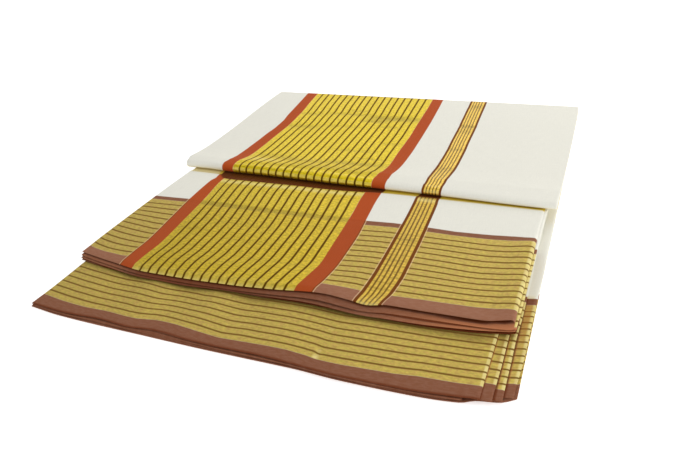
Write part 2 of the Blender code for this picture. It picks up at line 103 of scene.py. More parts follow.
# Weaving coordinates: u runs along the length, v is the distance from the front selvedge
weave = {
    "plain": 1.0,            # added to u, in metres, on stretches that the pallu never reaches
    # y of the row, then how far ten stripe edges lie off their place, all in mm
    "places": (-184.0, -165.5, -148.0, -110.0, -68.0, -14.0, 30.0, 50.0, 91.0, 120.0),
    "shifts": (
        (-222, -1.5, -2.5, -2.5, -2.4, -4.3, -8.5, -7.5, -8.5, -7.0, -8.0),
        (-202, 0.0, -0.5, -2.2, -2.7, -3.6, -5.1, -4.0, -4.0, -4.1, -2.5),
        (-172, 2.0, 2.0, 0.9, 1.1, 0.2, -1.1, 0.0, -1.0, -2.0, 0.0),
        (-122, 0.0, 0.5, 0.1, 2.4, 1.4, -0.3, -1.0, 0.3, -1.4, -0.2),
        (-72, -2.0, -1.5, -4.3, -3.1, -3.2, -4.0, -2.5, -3.0, -1.5, -1.5),
        (-32, -1.0, -5.0, -7.4, -7.4, -7.4, -7.5, -5.0, -5.0, -2.5, -3.0),
        (-22, 2.0, -4.5, -6.9, -7.0, -7.1, -7.4, -5.0, -5.0, -3.0, -4.0),
        (-21, 2.0, -4.5, -6.5, -6.6, -6.7, -6.9, -5.0, -5.0, -3.0, -4.0),
        (0, 1.5, -0.5, -1.9, -1.8, -1.9, -1.6, -0.3, -2.7, 2.0, -3.3),
        (5, 2.5, -0.5, -1.8, -1.7, -1.6, -1.2, 0.3, -2.2, 2.6, -3.0),
        (15, 4.5, 1.0, 0.2, 0.3, 0.4, 0.6, 1.5, -2.0, 2.4, -2.6),
        (30, 3.0, 1.0, 0.8, 1.2, 1.6, 2.0, 3.0, -1.8, 1.6, -2.6),
        (50, 1.0, 0.5, 0.7, 1.2, 1.7, 2.0, 3.0, -1.5, 1.0, -2.5),
        (75, 1.0, 0.5, 1.0, 1.2, 1.2, 1.1, 2.0, -1.0, 1.5, -2.0),
        (100, 1.5, 0.5, 0.7, 1.0, 0.5, 0.4, 1.0, -1.0, 1.5, -2.5),
        (125, 2.0, 1.0, 0.7, 0.8, 0.2, -0.1, 1.0, -1.5, 1.0, -3.0),
        (150, 4.0, 2.0, 0.8, 0.6, -0.1, 0.0, 1.0, -2.0, 0.0, -4.0),
        (175, 4.0, 2.0, 1.5, 0.7, 0.0, -0.4, 0.0, -2.5, -0.5, -4.5),
        (200, 1.0, 1.0, 0.0, -0.6, -0.8, -0.5, -1.0, -3.0, -1.0, -5.0),
        (225, -1.0, -0.5, -1.5, -1.3, -1.6, -1.2, -1.5, -4.0, -2.0, -6.0),
        (250, -3.0, -3.5, -4.3, -4.4, -4.0, -3.3, -2.0, -5.0, -3.0, -7.0),
        (300, -8.0, -8.5, -9.8, -8.8, -8.7, -7.2, -4.5, -8.0, -5.0, -9.0),
    ),
    # x of the column, then where five marks of the border lie on the middle stretch, in mm
    "borderMarks": (16.5, 24.0, 72.0, 120.5, 140.0),
    "middleBorder": (
        (-240, 25.5, 33.0, 78.5, 122.5, 140.5),
        (-228, 21.5, 28.5, 76.5, 123.6, 140.7),
        (-211, 17.5, 24.3, 74.1, 124.2, 141.2),
        (-196, 16.0, 22.8, 72.0, 124.6, 141.8),
        (-186, 14.7, 22.5, 70.9, 125.1, 142.2),
        (50, 16.0, 23.0, 69.5, 119.0, 139.5),
        (80, 17.0, 25.5, 72.0, 121.5, 141.0),
        (120, 15.5, 23.5, 72.0, 121.0, 140.0),
        (150, 17.0, 24.0, 71.0, 120.5, 138.0),
        (180, 17.5, 25.0, 69.0, 120.0, 139.0),
        (210, 18.5, 26.5, 71.5, 121.0, 141.5),
        (235, 18.5, 26.5, 72.5, 121.5, 141.0),
    ),
    # x of the column, then where the selvedge, the first line and the sixth line lie below
    "lowerMarks": (16.5, 24.0, 72.3),
    "lowerBorder": (
        (-240, 15.5, 23.5, 67.5),
        (-200, 13.0, 21.5, 65.0),
        (-170, 11.5, 19.3, 62.5),
        (-150, 11.0, 18.0, 62.0),
        (-130, 11.0, 18.5, 61.5),
        (-100, 12.5, 20.5, 60.0),
        (-70, 13.0, 20.0, 60.0),
        (-50, 12.5, 20.0, 61.5),
        (-20, 10.5, 17.5, 62.0),
        (0, 11.0, 19.0, 62.5),
        (20, 11.5, 18.5, 62.0),
        (50, 13.0, 20.0, 63.0),
        (70, 12.5, 20.0, 63.0),
        (80, 11.5, 18.5, 63.0),
        (100, 12.0, 19.5, 64.5),
        (150, 13.5, 21.0, 65.0),
        (170, 15.5, 23.0, 65.0),
        (200, 14.0, 21.5, 64.0),
        (220, 13.5, 21.0, 63.5),
    ),
}


def stripeU(x, rowYs):
    # x is a grid with a row for each of rowYs; stripes follow the photo's slight wander
    u = np.empty(x.shape)
    places = np.array(weave["places"]) / 1000.0
    for j, rowY in enumerate(rowYs):
        shifts = [readCurve(weave["shifts"], k + 1, rowY * 1000.0) for k in range(len(places))]
        moved = places + np.array(shifts) / 1000.0
        known = np.concatenate([[moved[0] - 1.0], moved, [moved[-1] + 1.0]])
        named = np.concatenate([[places[0] - 1.0], places, [places[-1] + 1.0]])
        u[j] = np.interp(x[j], known, named)
    return u


def borderV(rows, marks, x, back):
    # back is the distance from the front edge, as a grid; columns share one x
    v = np.empty(x.shape)
    named = np.concatenate([[0.0], np.array(marks), [marks[-1] + 1000.0]]) / 1000.0
    for i in range(x.shape[1]):
        at = np.median(x[:, i]) * 1000.0
        known = np.array([np.interp(at, [r[0] for r in rows], [r[k + 1] for r in rows])
                          for k in range(len(marks))])
        known = np.concatenate([[0.0], known, [known[-1] + 1000.0]]) / 1000.0
        v[:, i] = np.interp(back[:, i], known, named)
    return v


# Making a cloth body: an outer face, a wall behind it and rounded edges all round

# columns stand close together at a side that is folded
edgeSteps = np.array([0.0, 0.00025, 0.0006, 0.0010, 0.0015, 0.0022, 0.0032, 0.0045, 0.0065])
slant = 0.7  # part of the way out and up, halfway round a rounded edge


def acrossXs(left, right, count):
    inner = np.linspace(left + edgeSteps[-1], right - edgeSteps[-1], count)[1:-1]
    return np.concatenate([left + edgeSteps, inner, right - edgeSteps[::-1]])


def faceNormals(points):
    along = np.gradient(points, axis=1)
    back = np.gradient(points, axis=0)
    normal = np.cross(along, back)
    return normal / np.maximum(np.linalg.norm(normal, axis=2, keepdims=True), 1e-12)


def curlEdges(points, left, right):
    # the fold at each side turns down; left and right are how far in it starts and how deep it goes
    normal = faceNormals(points)
    x = points[:, :, 0]
    result = points.copy()
    for (reach, depth), d in ((left, x - x[:, :1]), (right, x[:, -1:] - x)):
        reach = np.broadcast_to(np.asarray(reach, float).reshape(-1, 1), x.shape)
        depth = np.broadcast_to(np.asarray(depth, float).reshape(-1, 1), x.shape)
        part = np.clip(1.0 - d / reach, 0.0, 1.0)
        result -= normal * (depth * (1.0 - np.sqrt(1.0 - part * part)))[:, :, None]
    return result


def away(a, b):
    step = a - b
    return step / np.maximum(np.linalg.norm(step, axis=-1, keepdims=True), 1e-12)


def roundEnd(middle, out, half):
    # three points round the side of a leaf, from one face over the tip to the other
    return [middle + out * slant + half * slant, middle + out, middle + out * slant - half * slant]


def shaded(piece):
    bpy.ops.object.select_all(action="DESELECT")
    piece.select_set(True)
    bpy.context.view_layer.objects.active = piece
    bpy.ops.object.shade_smooth_by_angle(angle=math.radians(70.0))


def clothBody(name, outer, inner, u, v, shades=None):
    middle = 0.5 * (outer + inner)
    half = 0.5 * (outer - inner)
    thick = np.linalg.norm(half, axis=2, keepdims=True)

    # each row is a ring round the leaf, and two more rows round off each end
    ends = []
    tips = ((0.0, 1.0), (slant, slant))
    for last, nextRow, steps in ((0, 1, tips), (-1, -2, tips[::-1])):
        out = away(middle[last], middle[nextRow])
        ends.append([(middle[last] + out * thick[last] * reach, half[last] * scale, thick[last] * scale, last)
                     for scale, reach in steps])
    order = ends[0] + [(middle[j], half[j], thick[j], j) for j in range(len(middle))] + ends[1]
    columns = outer.shape[1]
    picks = list(range(columns)) + [columns - 1] * 3 + list(range(columns - 1, -1, -1)) + [0] * 4
    grid, uv = [], []
    for mid, hf, th, j in order:
        ring = list(mid + hf) + roundEnd(mid[-1], away(mid[-1], mid[-2]) * th[-1], hf[-1])
        ring += list((mid - hf)[::-1]) + roundEnd(mid[0], away(mid[0], mid[1]) * th[0], -hf[0])
        grid.append(ring + ring[:1])
        uv.append([(u[j, i], v[j, i]) for i in picks])
    grid, uv = np.array(grid), np.array(uv)

    # a plain grid takes the rings' places, and merging closes its seams
    rowCount, ringCount = grid.shape[:2]
    bpy.ops.object.select_all(action="DESELECT")
    bpy.ops.mesh.primitive_grid_add(x_subdivisions=ringCount - 1, y_subdivisions=rowCount - 1, size=1.0)
    piece = bpy.context.active_object
    piece.name = name
    mesh = piece.data
    mesh.name = name
    at = np.empty(len(mesh.vertices) * 3)
    mesh.vertices.foreach_get("co", at)
    at = at.reshape(-1, 3)
    column = np.rint((at[:, 0] + 0.5) * (ringCount - 1)).astype(int)
    row = np.rint((at[:, 1] + 0.5) * (rowCount - 1)).astype(int)
    mesh.vertices.foreach_set("co", grid[row, column].ravel())
    corner = np.empty(len(mesh.loops), dtype=np.int32)
    mesh.loops.foreach_get("vertex_index", corner)
    mesh.uv_layers.active.data.foreach_set("uv", uv[row, column][corner].ravel())
    rowPicks = [part[3] % len(middle) for part in order]
    for title in ("paintedFoldShading", "paintedGapShading"):
        layer = mesh.attributes.new(title, "FLOAT", "POINT")
        if shades and title in shades:
            values = shades[title][rowPicks][:, picks]
            layer.data.foreach_set("value", values[row, column].astype(np.float32))
    mesh.update()
    bpy.ops.object.mode_set(mode="EDIT")
    bpy.ops.mesh.select_all(action="SELECT")
    bpy.ops.mesh.remove_doubles(threshold=1e-7)
    bpy.ops.object.mode_set(mode="OBJECT")
    shaded(piece)
    return piece


def walled(name, outer, wall, u, v, shades=None):
    return clothBody(name, outer, outer - faceNormals(outer) * wall, u, v, shades)


def dress(piece, material, nodeNames):
    piece.data.materials.clear()
    piece.data.materials.append(material)
    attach(piece, "root")
    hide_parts(*nodeNames)


# Materials

def linearColour(code):
    parts = [int(code[i:i + 2], 16) / 255.0 for i in (1, 3, 5)]
    return [c / 12.92 if c <= 0.04045 else ((c + 0.055) / 1.055) ** 2.4 for c in parts] + [1.0]


def addNode(tree, kind, settings, out=0):
    # a setting is a property, the value of an input, or the output of another node that is linked to it
    node = tree.nodes.new(kind)
    for key, value in settings.items():
        if isinstance(key, str) and key not in node.inputs:
            setattr(node, key, value)
        elif isinstance(value, bpy.types.NodeSocket):
            tree.links.new(value, node.inputs[key])
        else:
            node.inputs[key].default_value = value
    return node.outputs[out] if len(node.outputs) else node


def overlap(tree, *parts):
    # masks and plain numbers, all multiplied
    whole = parts[0]
    for part in parts[1:]:
        whole = addNode(tree, "ShaderNodeMath", {"operation": "MULTIPLY", 0: whole, 1: part})
    return whole


def either(tree, *masks):
    # 1 wherever one of the masks is
    whole = masks[0]
    for mask in masks[1:]:
        whole = addNode(tree, "ShaderNodeMath", {"operation": "ADD", "use_clamp": True, 0: whole, 1: mask})
    return whole


def bandMask(tree, value, start, stop, soft):
    # 1 between start and stop, with edges as soft as given
    edges = [addNode(tree, "ShaderNodeMapRange", {"interpolation_type": "SMOOTHSTEP", 0: value,
                     1: at - soft / 2, 2: at + soft / 2, 3: low, 4: 1.0 - low})
             for at, low in ((start, 0.0), (stop, 1.0))]
    return overlap(tree, *edges)


def lineMask(tree, value, first, pitch, width, soft):
    # 1 on thin lines at an even pitch, one of them at first
    part = value
    for operation, by in (("SUBTRACT", first - pitch / 2), ("DIVIDE", pitch), ("FRACT", 0.0),
                          ("SUBTRACT", 0.5), ("ABSOLUTE", 0.0)):
        part = addNode(tree, "ShaderNodeMath", {"operation": operation, 0: part, 1: by})
    return addNode(tree, "ShaderNodeMapRange", {"interpolation_type": "SMOOTHSTEP", 0: part,
                   1: (width - soft) / 2 / pitch, 2: (width + soft) / 2 / pitch, 3: 1.0, 4: 0.0})


def laid(tree, colour, *layers):
    # each layer is a mask and the colour that it lays over the ones before
    for mask, over in layers:
        under, over = [linearColour(tone) if isinstance(tone, str) else tone for tone in (colour, over)]
        colour = addNode(tree, "ShaderNodeMix", {"data_type": "RGBA", 0: mask, 6: under, 7: over}, 2)
    return colour


cotton = {
    "cream": "#F2F0E4",
    "goldLit": "#E6CA14",       # pallu gold behind the roll, painted lighter: the same gold in more light
    "goldShaded": "#DABE2C",       # and in front of it, painted darker: the same gold in less light
    "crossedGold": "#C9A528",    # and where the border runs through it
    "innerGold": "#8F7A22",      # over the border's inner brown line
    "highlightGold": "#FFF2A6",       # painted highlight: gilt yarn that catches the light
    "borderGold": "#CEB858",
    "tanGold": "#C49A5A",        # where gilt and cotton mix in the border
    "goldLine": "#664206",
    "borderLine": "#7A5420",
    "pallu": "#B94C16",          # the two broad stripes
    "palluDeep": "#A84A1E",
    "bandEdge": "#783E02",
    "bandGold": "#F6CE58",
    # band gold painted darker towards the front, the same gold in less light
    "bandGoldShaded": "#D8B444",
    "bandLine": "#6A4600",
    "paleThread": "#EECA9A",
    "selvedge": "#8A563C",
    "selvedgePale": "#986A54",
    "creamInShade": "#DCC040",      # painted shade on cream cloth deep in a fold
    "giltInHalfShade": "#B8662A",       # painted half shade on gilt beside a higher fold
    "giltInShade": "#6E2E04",       # painted shade on gilt and brown cloth deep in a fold
    "giltInDeepShade": "#663404",       # and deeper painted shade still
    "edgeHighlight": "#D69C7C",       # painted highlight on selvedge that catches the light
    "litFold": "#DC8C5C",        # and painted highlight on the fold ends under it
    "sheen": "#FFE6B4",
    "metal": 0.80,
    "creamRough": 0.85,
    "goldRough": 0.42,
    "threadPitch": 0.0009,       # real threads are 0.3 mm apart, drawn coarser so that they show
}


# What is woven where, in metres: start and stop, or for lines the first, their pitch and their width
pattern = {
    # by v, from the selvedge inwards
    "selvedge": (-0.05, 0.0165),
    "border": (0.0165, 0.1315),
    "innerBrown": (0.1315, 0.1400),
    "wholeBorder": (-0.05, 0.1400),
    "borderLine": (0.0240, 0.00965, 0.0022),
    "borderLines": (0.0200, 0.1245),
    "innerGold": (0.1310, 0.1410),
    # by v, where the gold and the band are painted darker: the same gold in less light in front of the roll
    "frontGold": (-1.0, 0.2400),
    "frontBand": (-1.0, 0.1950),
    # by u, along the length
    "pallu": (-0.1840, 0.0500),
    "palluStripes": ((-0.1840, -0.1655), (0.0300, 0.0500)),
    "palluEdges": ((-0.1841, -0.1827), (0.0487, 0.0501)),
    "gold": (-0.1655, 0.0300),
    "goldLine": (-0.1546, 0.0109, 0.0026),
    "goldLines": (-0.1600, 0.0255),
    "band": (0.0910, 0.1200),
    "bandGold": (0.0944, 0.1166),
    "bandLine": (0.0979, 0.0047, 0.0018),
    "bandLines": (0.0960, 0.1145),
    "paleThreads": ((-0.1852, -0.1842), (0.0502, 0.0512), (0.0899, 0.0908), (0.1202, 0.1211)),
    "foldEnds": (0.60, 3.00),            # u of the stretches without the pallu
}


def kasavuCotton(name):
    # plain-woven unbleached cotton with flat gilt yarn: matte cream and silky gold,
    # with painted shade in its creases and painted highlights on its folds
    material = bpy.data.materials.new(name)
    material.use_nodes = True
    tree = material.node_tree
    tree.nodes.clear()
    place = addNode(tree, "ShaderNodeUVMap", {"uv_map": "UVMap"})
    u, v = [addNode(tree, "ShaderNodeSeparateXYZ", {0: place}, axis) for axis in (0, 1)]

    def patchy(along, across, seed):
        # noise stretched along the two threads, sizes per metre
        at = {0: overlap(tree, u, along), 1: overlap(tree, v, across), 2: seed}
        return addNode(tree, "ShaderNodeTexNoise", {"Vector": addNode(tree, "ShaderNodeCombineXYZ", at),
                       "Scale": 1.0, "Detail": 3.0})

    slub = addNode(tree, "ShaderNodeMath", {"operation": "ADD", 0: patchy(1800.0, 70.0, 0.0),
                   1: patchy(70.0, 1800.0, 4.0)})
    mottle = addNode(tree, "ShaderNodeMapRange", {0: patchy(170.0, 420.0, 9.0), 1: 0.42, 2: 0.62,
                     3: 0.0, 4: 1.0})

    # border along the selvedge
    border = bandMask(tree, v, *pattern["border"], 0.0008)
    outerBrown = bandMask(tree, v, *pattern["selvedge"], 0.0008)
    innerBrown = bandMask(tree, v, *pattern["innerBrown"], 0.0010)
    crossLines = overlap(tree, lineMask(tree, v, *pattern["borderLine"], 0.0012),
                         bandMask(tree, v, *pattern["borderLines"], 0.0010))
    borderTone = laid(tree, cotton["borderGold"], (overlap(tree, mottle, 0.55), cotton["tanGold"]))
    brownTone = laid(tree, cotton["selvedge"], (overlap(tree, mottle, 0.45), cotton["selvedgePale"]))
    colour = laid(tree, cotton["cream"], (border, borderTone),
                  (overlap(tree, crossLines, 0.88), cotton["borderLine"]),
                  (outerBrown, brownTone), (innerBrown, brownTone))

    # pallu across the end of the length
    inBorder = bandMask(tree, v, *pattern["wholeBorder"], 0.0015)
    innerGold = bandMask(tree, v, *pattern["innerGold"], 0.003)
    crossed = overlap(tree, crossLines, inBorder)
    gold = bandMask(tree, u, *pattern["gold"], 0.0008)
    goldLines = overlap(tree, lineMask(tree, u, *pattern["goldLine"], 0.0012),
                        bandMask(tree, u, *pattern["goldLines"], 0.0010))
    goldTone = laid(tree, cotton["goldLit"],
                    (bandMask(tree, v, *pattern["frontGold"], 0.0080), cotton["goldShaded"]),
                    (overlap(tree, inBorder, 0.20), cotton["crossedGold"]),
                    (overlap(tree, crossed, 0.08), cotton["borderLine"]),
                    (overlap(tree, innerGold, 0.30), cotton["innerGold"]),
                    (overlap(tree, goldLines, 0.94), cotton["goldLine"]))
    palluTone = laid(tree, cotton["pallu"], (overlap(tree, inBorder, 0.45), cotton["palluDeep"]))
    stripes = [(bandMask(tree, u, *span, 0.0010), palluTone) for span in pattern["palluStripes"]]
    stripes += [(overlap(tree, bandMask(tree, u, *span, 0.0006), inBorder, 0.7), cotton["bandEdge"])
                for span in pattern["palluEdges"]]
    colour = laid(tree, colour, (gold, goldTone), *stripes)

    # narrow band beside it
    bandGold = bandMask(tree, u, *pattern["bandGold"], 0.0008)
    bandLines = overlap(tree, lineMask(tree, u, *pattern["bandLine"], 0.0009),
                        bandMask(tree, u, *pattern["bandLines"], 0.0008))
    bandTone = laid(tree, cotton["bandGold"],
                    (bandMask(tree, v, *pattern["frontBand"], 0.0500), cotton["bandGoldShaded"]),
                    (overlap(tree, bandLines, 0.90), cotton["bandLine"]),
                    (overlap(tree, crossed, 0.25), cotton["bandLine"]))
    bandTone = laid(tree, cotton["bandEdge"], (bandGold, bandTone))
    # and the pale thread beside each stripe where it crosses the border
    threads = [(overlap(tree, bandMask(tree, u, *span, 0.0006), inBorder, 0.7), cotton["paleThread"])
               for span in pattern["paleThreads"]]
    colour = laid(tree, colour, (bandMask(tree, u, *pattern["band"], 0.0008), bandTone), *threads)

    # gilt yarn shows where gold is woven, made brighter or duller as the cloth bends
    # by painted highlights and painted shade
    across = [bandMask(tree, u, *pattern[title], 0.001) for title in ("pallu", "band")]
    bare = addNode(tree, "ShaderNodeMath", {"operation": "SUBTRACT", 0: 1.0, 1: either(tree, *across)})
    plainBorder = overlap(tree, border, bare)
    woven = either(tree, gold, overlap(tree, plainBorder, 0.6), bandGold)
    lines = either(tree, overlap(tree, goldLines, gold), overlap(tree, crossLines, plainBorder))
    gilt = overlap(tree, woven, addNode(tree, "ShaderNodeMath", {"operation": "SUBTRACT", 0: 1.0, 1: lines}))
    # painted shading read from each piece: above 0 painted shade, below 0 painted highlight
    folded, gapShade = [addNode(tree, "ShaderNodeAttribute", {"attribute_name": title}, "Fac")
                    for title in ("paintedFoldShading", "paintedGapShading")]
    bright, lit = [addNode(tree, "ShaderNodeMath", {"operation": "MULTIPLY", "use_clamp": True,
                           0: tone, 1: -1.0}) for tone in (folded, gapShade)]
    sparkle = addNode(tree, "ShaderNodeMapRange", {0: patchy(260.0, 420.0, 2.0), 1: 0.35, 2: 0.65,
                      3: -0.22, 4: 0.16})
    thread = addNode(tree, "ShaderNodeMapRange", {0: slub, 1: 0.6, 2: 1.4, 3: 0.95, 4: 1.05})
    # painted shade darkens the gilt in its creases
    creaseDarkening = addNode(tree, "ShaderNodeMapRange", {0: overlap(tree, folded, gilt), 1: 0.0, 2: 1.0,
                     3: 1.0, 4: 0.40})
    value = overlap(tree, thread, creaseDarkening)
    value = addNode(tree, "ShaderNodeMath", {"operation": "ADD", 0: value,
                    1: overlap(tree, sparkle, gilt, value)})
    toned = addNode(tree, "ShaderNodeVectorMath", {"operation": "SCALE", 0: colour, "Scale": value})
    paintedHighlight = overlap(tree, bright, gilt)

    # deep in a crease the light comes off the cloth itself, so cream turns olive gold and gilt dark brown
    dark = either(tree, *[bandMask(tree, axis, *pattern[title], 0.002)
                          for axis, title in ((u, "pallu"), (u, "band"), (v, "wholeBorder"))])
    deep = addNode(tree, "ShaderNodeMath", {"operation": "SUBTRACT", "use_clamp": True, 0: gapShade, 1: 1.0})
    dusk = addNode(tree, "ShaderNodeMapRange", {0: gapShade, 1: 0.40, 2: 0.80, 3: 1.0, 4: 0.0})
    giltInShade = laid(tree, cotton["giltInShade"], (deep, cotton["giltInDeepShade"]),
                    (overlap(tree, border, dusk), cotton["giltInHalfShade"]))
    paintedGapShading = laid(tree, cotton["creamInShade"], (dark, giltInShade))
    # painted highlight on the selvedge and the fold ends where the light catches them
    foldEnds = bandMask(tree, u, *pattern["foldEnds"], 0.10)
    litTone = laid(tree, cotton["edgeHighlight"], (foldEnds, cotton["litFold"]))
    toned = laid(tree, toned, (paintedHighlight, cotton["highlightGold"]), (gapShade, paintedGapShading),
                 (overlap(tree, lit, outerBrown, bare), litTone))

    # weave relief: over and under at the thread pitch
    perMetre = 2.0 * math.pi / cotton["threadPitch"]
    waves = [addNode(tree, "ShaderNodeMath", {"operation": "SINE", 0: overlap(tree, axis, perMetre)})
             for axis in (u, v)]
    relief = addNode(tree, "ShaderNodeMath", {"operation": "ADD", 0: overlap(tree, *waves), 1: slub})
    bump = addNode(tree, "ShaderNodeBump", {"Strength": 0.35, "Distance": 0.00012, "Height": relief})
    rough = addNode(tree, "ShaderNodeMapRange", {0: gilt, 1: 0.0, 2: 1.0, 3: cotton["creamRough"],
                    4: cotton["goldRough"]})
    shade = addNode(tree, "ShaderNodeMath", {"operation": "MAXIMUM", 0: gapShade, 1: 0.0})
    dull = addNode(tree, "ShaderNodeMath", {"operation": "ADD", 0: paintedHighlight, 1: shade})
    metal = addNode(tree, "ShaderNodeMath", {"operation": "SUBTRACT", "use_clamp": True,
                    0: overlap(tree, woven, cotton["metal"]), 1: dull})
    shader = addNode(tree, "ShaderNodeBsdfPrincipled", {
        "Base Color": toned, "Roughness": rough, "Metallic": metal, "Normal": bump, "IOR": 1.5,
        "Sheen Weight": 0.04, "Sheen Roughness": 0.5, "Sheen Tint": linearColour(cotton["sheen"]),
        "Specular IOR Level": 0.2})
    addNode(tree, "ShaderNodeOutputMaterial", {0: shader})
    return material


saree = kasavuCotton("unbleachedCottonWithGiltYarn")
print("materials made")


# Lower stretch, with its border at the front

lowerStretch = {
    "edges": (
        (-0.305, -0.2460, 0.2188), (-0.270, -0.2420, 0.2192), (-0.200, -0.2390, 0.2205),
        (0.000, -0.2390, 0.2250), (0.292, -0.2400, 0.2300),
    ),
    "heights": (
        (-0.310, 0.0042, 0.0058, 0.0064), (-0.285, 0.0052, 0.0068, 0.0072),
        (-0.250, 0.0062, 0.0075, 0.0079), (-0.200, 0.0072, 0.0081, 0.0085),
        (0.000, 0.0084, 0.0088, 0.0088), (0.200, 0.0082, 0.0082, 0.0082),
        (0.292, 0.0078, 0.0078, 0.0078),
    ),
    "front": (
        (-0.250, -0.2930), (-0.192, -0.2978), (-0.162, -0.2966), (-0.120, -0.3003),
        (-0.094, -0.2975), (-0.048, -0.3020), (0.015, -0.3028), (0.056, -0.3049),
        (0.104, -0.3081), (0.156, -0.3078), (0.192, -0.3053), (0.219, -0.3024),
    ),
    "waves": (
        (-0.245, 0.0), (-0.200, 0.0008), (-0.165, -0.0010), (-0.130, 0.0013),
        (-0.095, -0.0012), (-0.055, 0.0012), (-0.020, -0.0011), (0.030, 0.0006),
        (0.070, -0.0004), (0.110, 0.0004), (0.220, 0.0),
    ),
    "bottomFront": (
        (-0.248, -0.2944), (-0.208, -0.2992), (-0.159, -0.3015), (-0.113, -0.3027),
        (-0.026, -0.3050), (0.055, -0.3057), (0.103, -0.3082), (0.139, -0.3085),
        (0.172, -0.3080), (0.204, -0.3050), (0.215, -0.3000), (0.234, -0.2965), (0.248, -0.2880),
    ),
    # x, then where the stack above starts to take the light off the gilt
    "shadow": (
        (-0.246, -0.2232), (-0.200, -0.2325), (-0.115, -0.2395), (-0.050, -0.2390), (0.000, -0.2390),
        (0.092, -0.2415), (0.150, -0.2430), (0.200, -0.2425), (0.238, -0.2360),
    ),
    "marks": (
        (-0.130, -0.272, 0.004, 0.012, 0.0004), (0.075, -0.287, 0.004, 0.006, 0.0006),
        (0.071, -0.288, 0.003, 0.004, -0.0005), (-0.070, -0.245, 0.006, 0.010, 0.0004),
        (0.170, -0.250, 0.004, 0.018, 0.0003), (-0.210, -0.262, 0.005, 0.014, 0.0003),
    ),
    # small creases that catch the light
    "tones": (
        (0.0742, -0.2928, 0.0026, 0.0034, 1.00), (0.0741, -0.2846, 0.0014, 0.0018, 0.60),
        (0.0747, -0.2542, 0.0020, 0.0020, 0.30),
    ),
    "waveStart": 0.4,        # part of a wave's height at the very front
    "waveGrows": 0.05,       # where it is whole
    "waveFades": 0.06,       # where it begins to die away, over as much again
    "shadowSoft": 0.008,
    "shadowEnds": 0.02,
    "shadowTone": 0.7,
    # painted shade along the front edge: its tone and width
    "frontEdgeShade": 0.80,
    "frontWide": 0.0022,
    "highlightWide": 0.0034,
    "curl": ((0.0009, 0.0009), (0.0030, 0.0013)),
    "wall": 0.0008,
    "cuts": (0.100, 0.0020, 0.592),      # how far the fine rows go, their step and the whole depth
    "columns": 200,
}


def lowerHeight(x, y, marks=True):
    back = np.maximum(0.0, y - readCurve(lowerStretch["front"], 1, x))
    start = lowerStretch["waveStart"]
    grow = start + (1.0 - start) * np.minimum(1.0, back / lowerStretch["waveGrows"])
    fade = 1.0 - np.clip((back - lowerStretch["waveFades"]) / lowerStretch["waveFades"], 0.0, 1.0)
    z = readHeight(lowerStretch["heights"], x, y)
    z = z + readCurve(lowerStretch["waves"], 1, x) * grow * fade
    return z + softMarks(lowerStretch["marks"], x, y) if marks else z


def gridXs(edges, columns, ys):
    left, right = readCurve(edges, 1, ys), readCurve(edges, 2, ys)
    return np.array([acrossXs(a, b, columns) for a, b in zip(left, right)])


def flatGrid(edges, front, rearY, cuts, columns):
    # rows run from the front edge to rearY, at the given parts of the way
    midFront = readCurve(front, 1, 0.0)
    x = gridXs(edges, columns, midFront + (rearY - midFront) * cuts)
    start = readCurve(front, 1, x)
    y = start + (rearY - start) * cuts[:, None]
    return x, y, y - start


def backCuts(near, step, whole):
    # finer near the front edge, then even steps, as parts of the whole depth
    fine = np.arange(0.0, near, step)
    coarse = np.linspace(near, whole, max(2, int((whole - near) / (step * 3.0))))
    return np.concatenate([fine, coarse]) / whole


cuts = backCuts(*lowerStretch["cuts"])
x, y, back = flatGrid(lowerStretch["edges"], lowerStretch["front"], stack["lowerRearY"], cuts,
                      lowerStretch["columns"])
outer = curlEdges(np.dstack([x, y, lowerHeight(x, y)]), *lowerStretch["curl"])
v = borderV(weave["lowerBorder"], weave["lowerMarks"], x, back)
# painted shadow of the stack above, painted highlights at the right fold and on small creases, and painted
# shade along the front edge
shadow = ease((y - readCurve(lowerStretch["shadow"], 1, x)) / lowerStretch["shadowSoft"])
shadow = shadow * ease((readCurve(lowerStretch["edges"], 2, y) - x) / lowerStretch["shadowEnds"])
lively = edgeHighlight(x, y, x[:, -1:], lowerStretch["highlightWide"]) + softMarks(lowerStretch["tones"], x, y)
shades = {"paintedFoldShading": lively * (1.0 - shadow) + lowerStretch["shadowTone"] * shadow,
          "paintedGapShading": lowerStretch["frontEdgeShade"] * ease(1.0 - back / lowerStretch["frontWide"])}
lowerPiece = walled("lowerStretch", outer, lowerStretch["wall"], x + weave["plain"], v, shades)
dress(lowerPiece, saree, ["lower_panel"])
print("lower stretch made")


# Stretch that lies on the surface

underside = {
    # how far in its sides stand at the front, and how much further at the back
    "leftIn": (0.0006, 0.0015),
    "rightIn": (0.0018, 0.0005),
    "frontIn": 0.0006,
    "wall": 0.0010,
    "crowd": 1.4,            # more than 1 puts more rows near the front
    "rows": 60,
    "columns": 120,
}
side = stack["rightX"]
cuts = np.linspace(0.0, 1.0, underside["rows"]) ** underside["crowd"]
x = np.array([acrossXs(-side + underside["leftIn"][0] + underside["leftIn"][1] * c,
                       side - underside["rightIn"][0] - underside["rightIn"][1] * c,
                       underside["columns"]) for c in cuts])
start = readCurve(lowerStretch["bottomFront"], 1, x) + underside["frontIn"]
y = start + (stack["backSeamY"] - stack["gap"] - start) * cuts[:, None]
outer = np.dstack([x, y, np.full(x.shape, underside["wall"])])
inner = np.dstack([x, y, np.zeros(x.shape)])
undersidePiece = clothBody("undersideStretch", outer, inner, x + weave["plain"], y - start)
dress(undersidePiece, saree, ["underside_panel"])
print("underside made")


# Fold ends that step out at the right

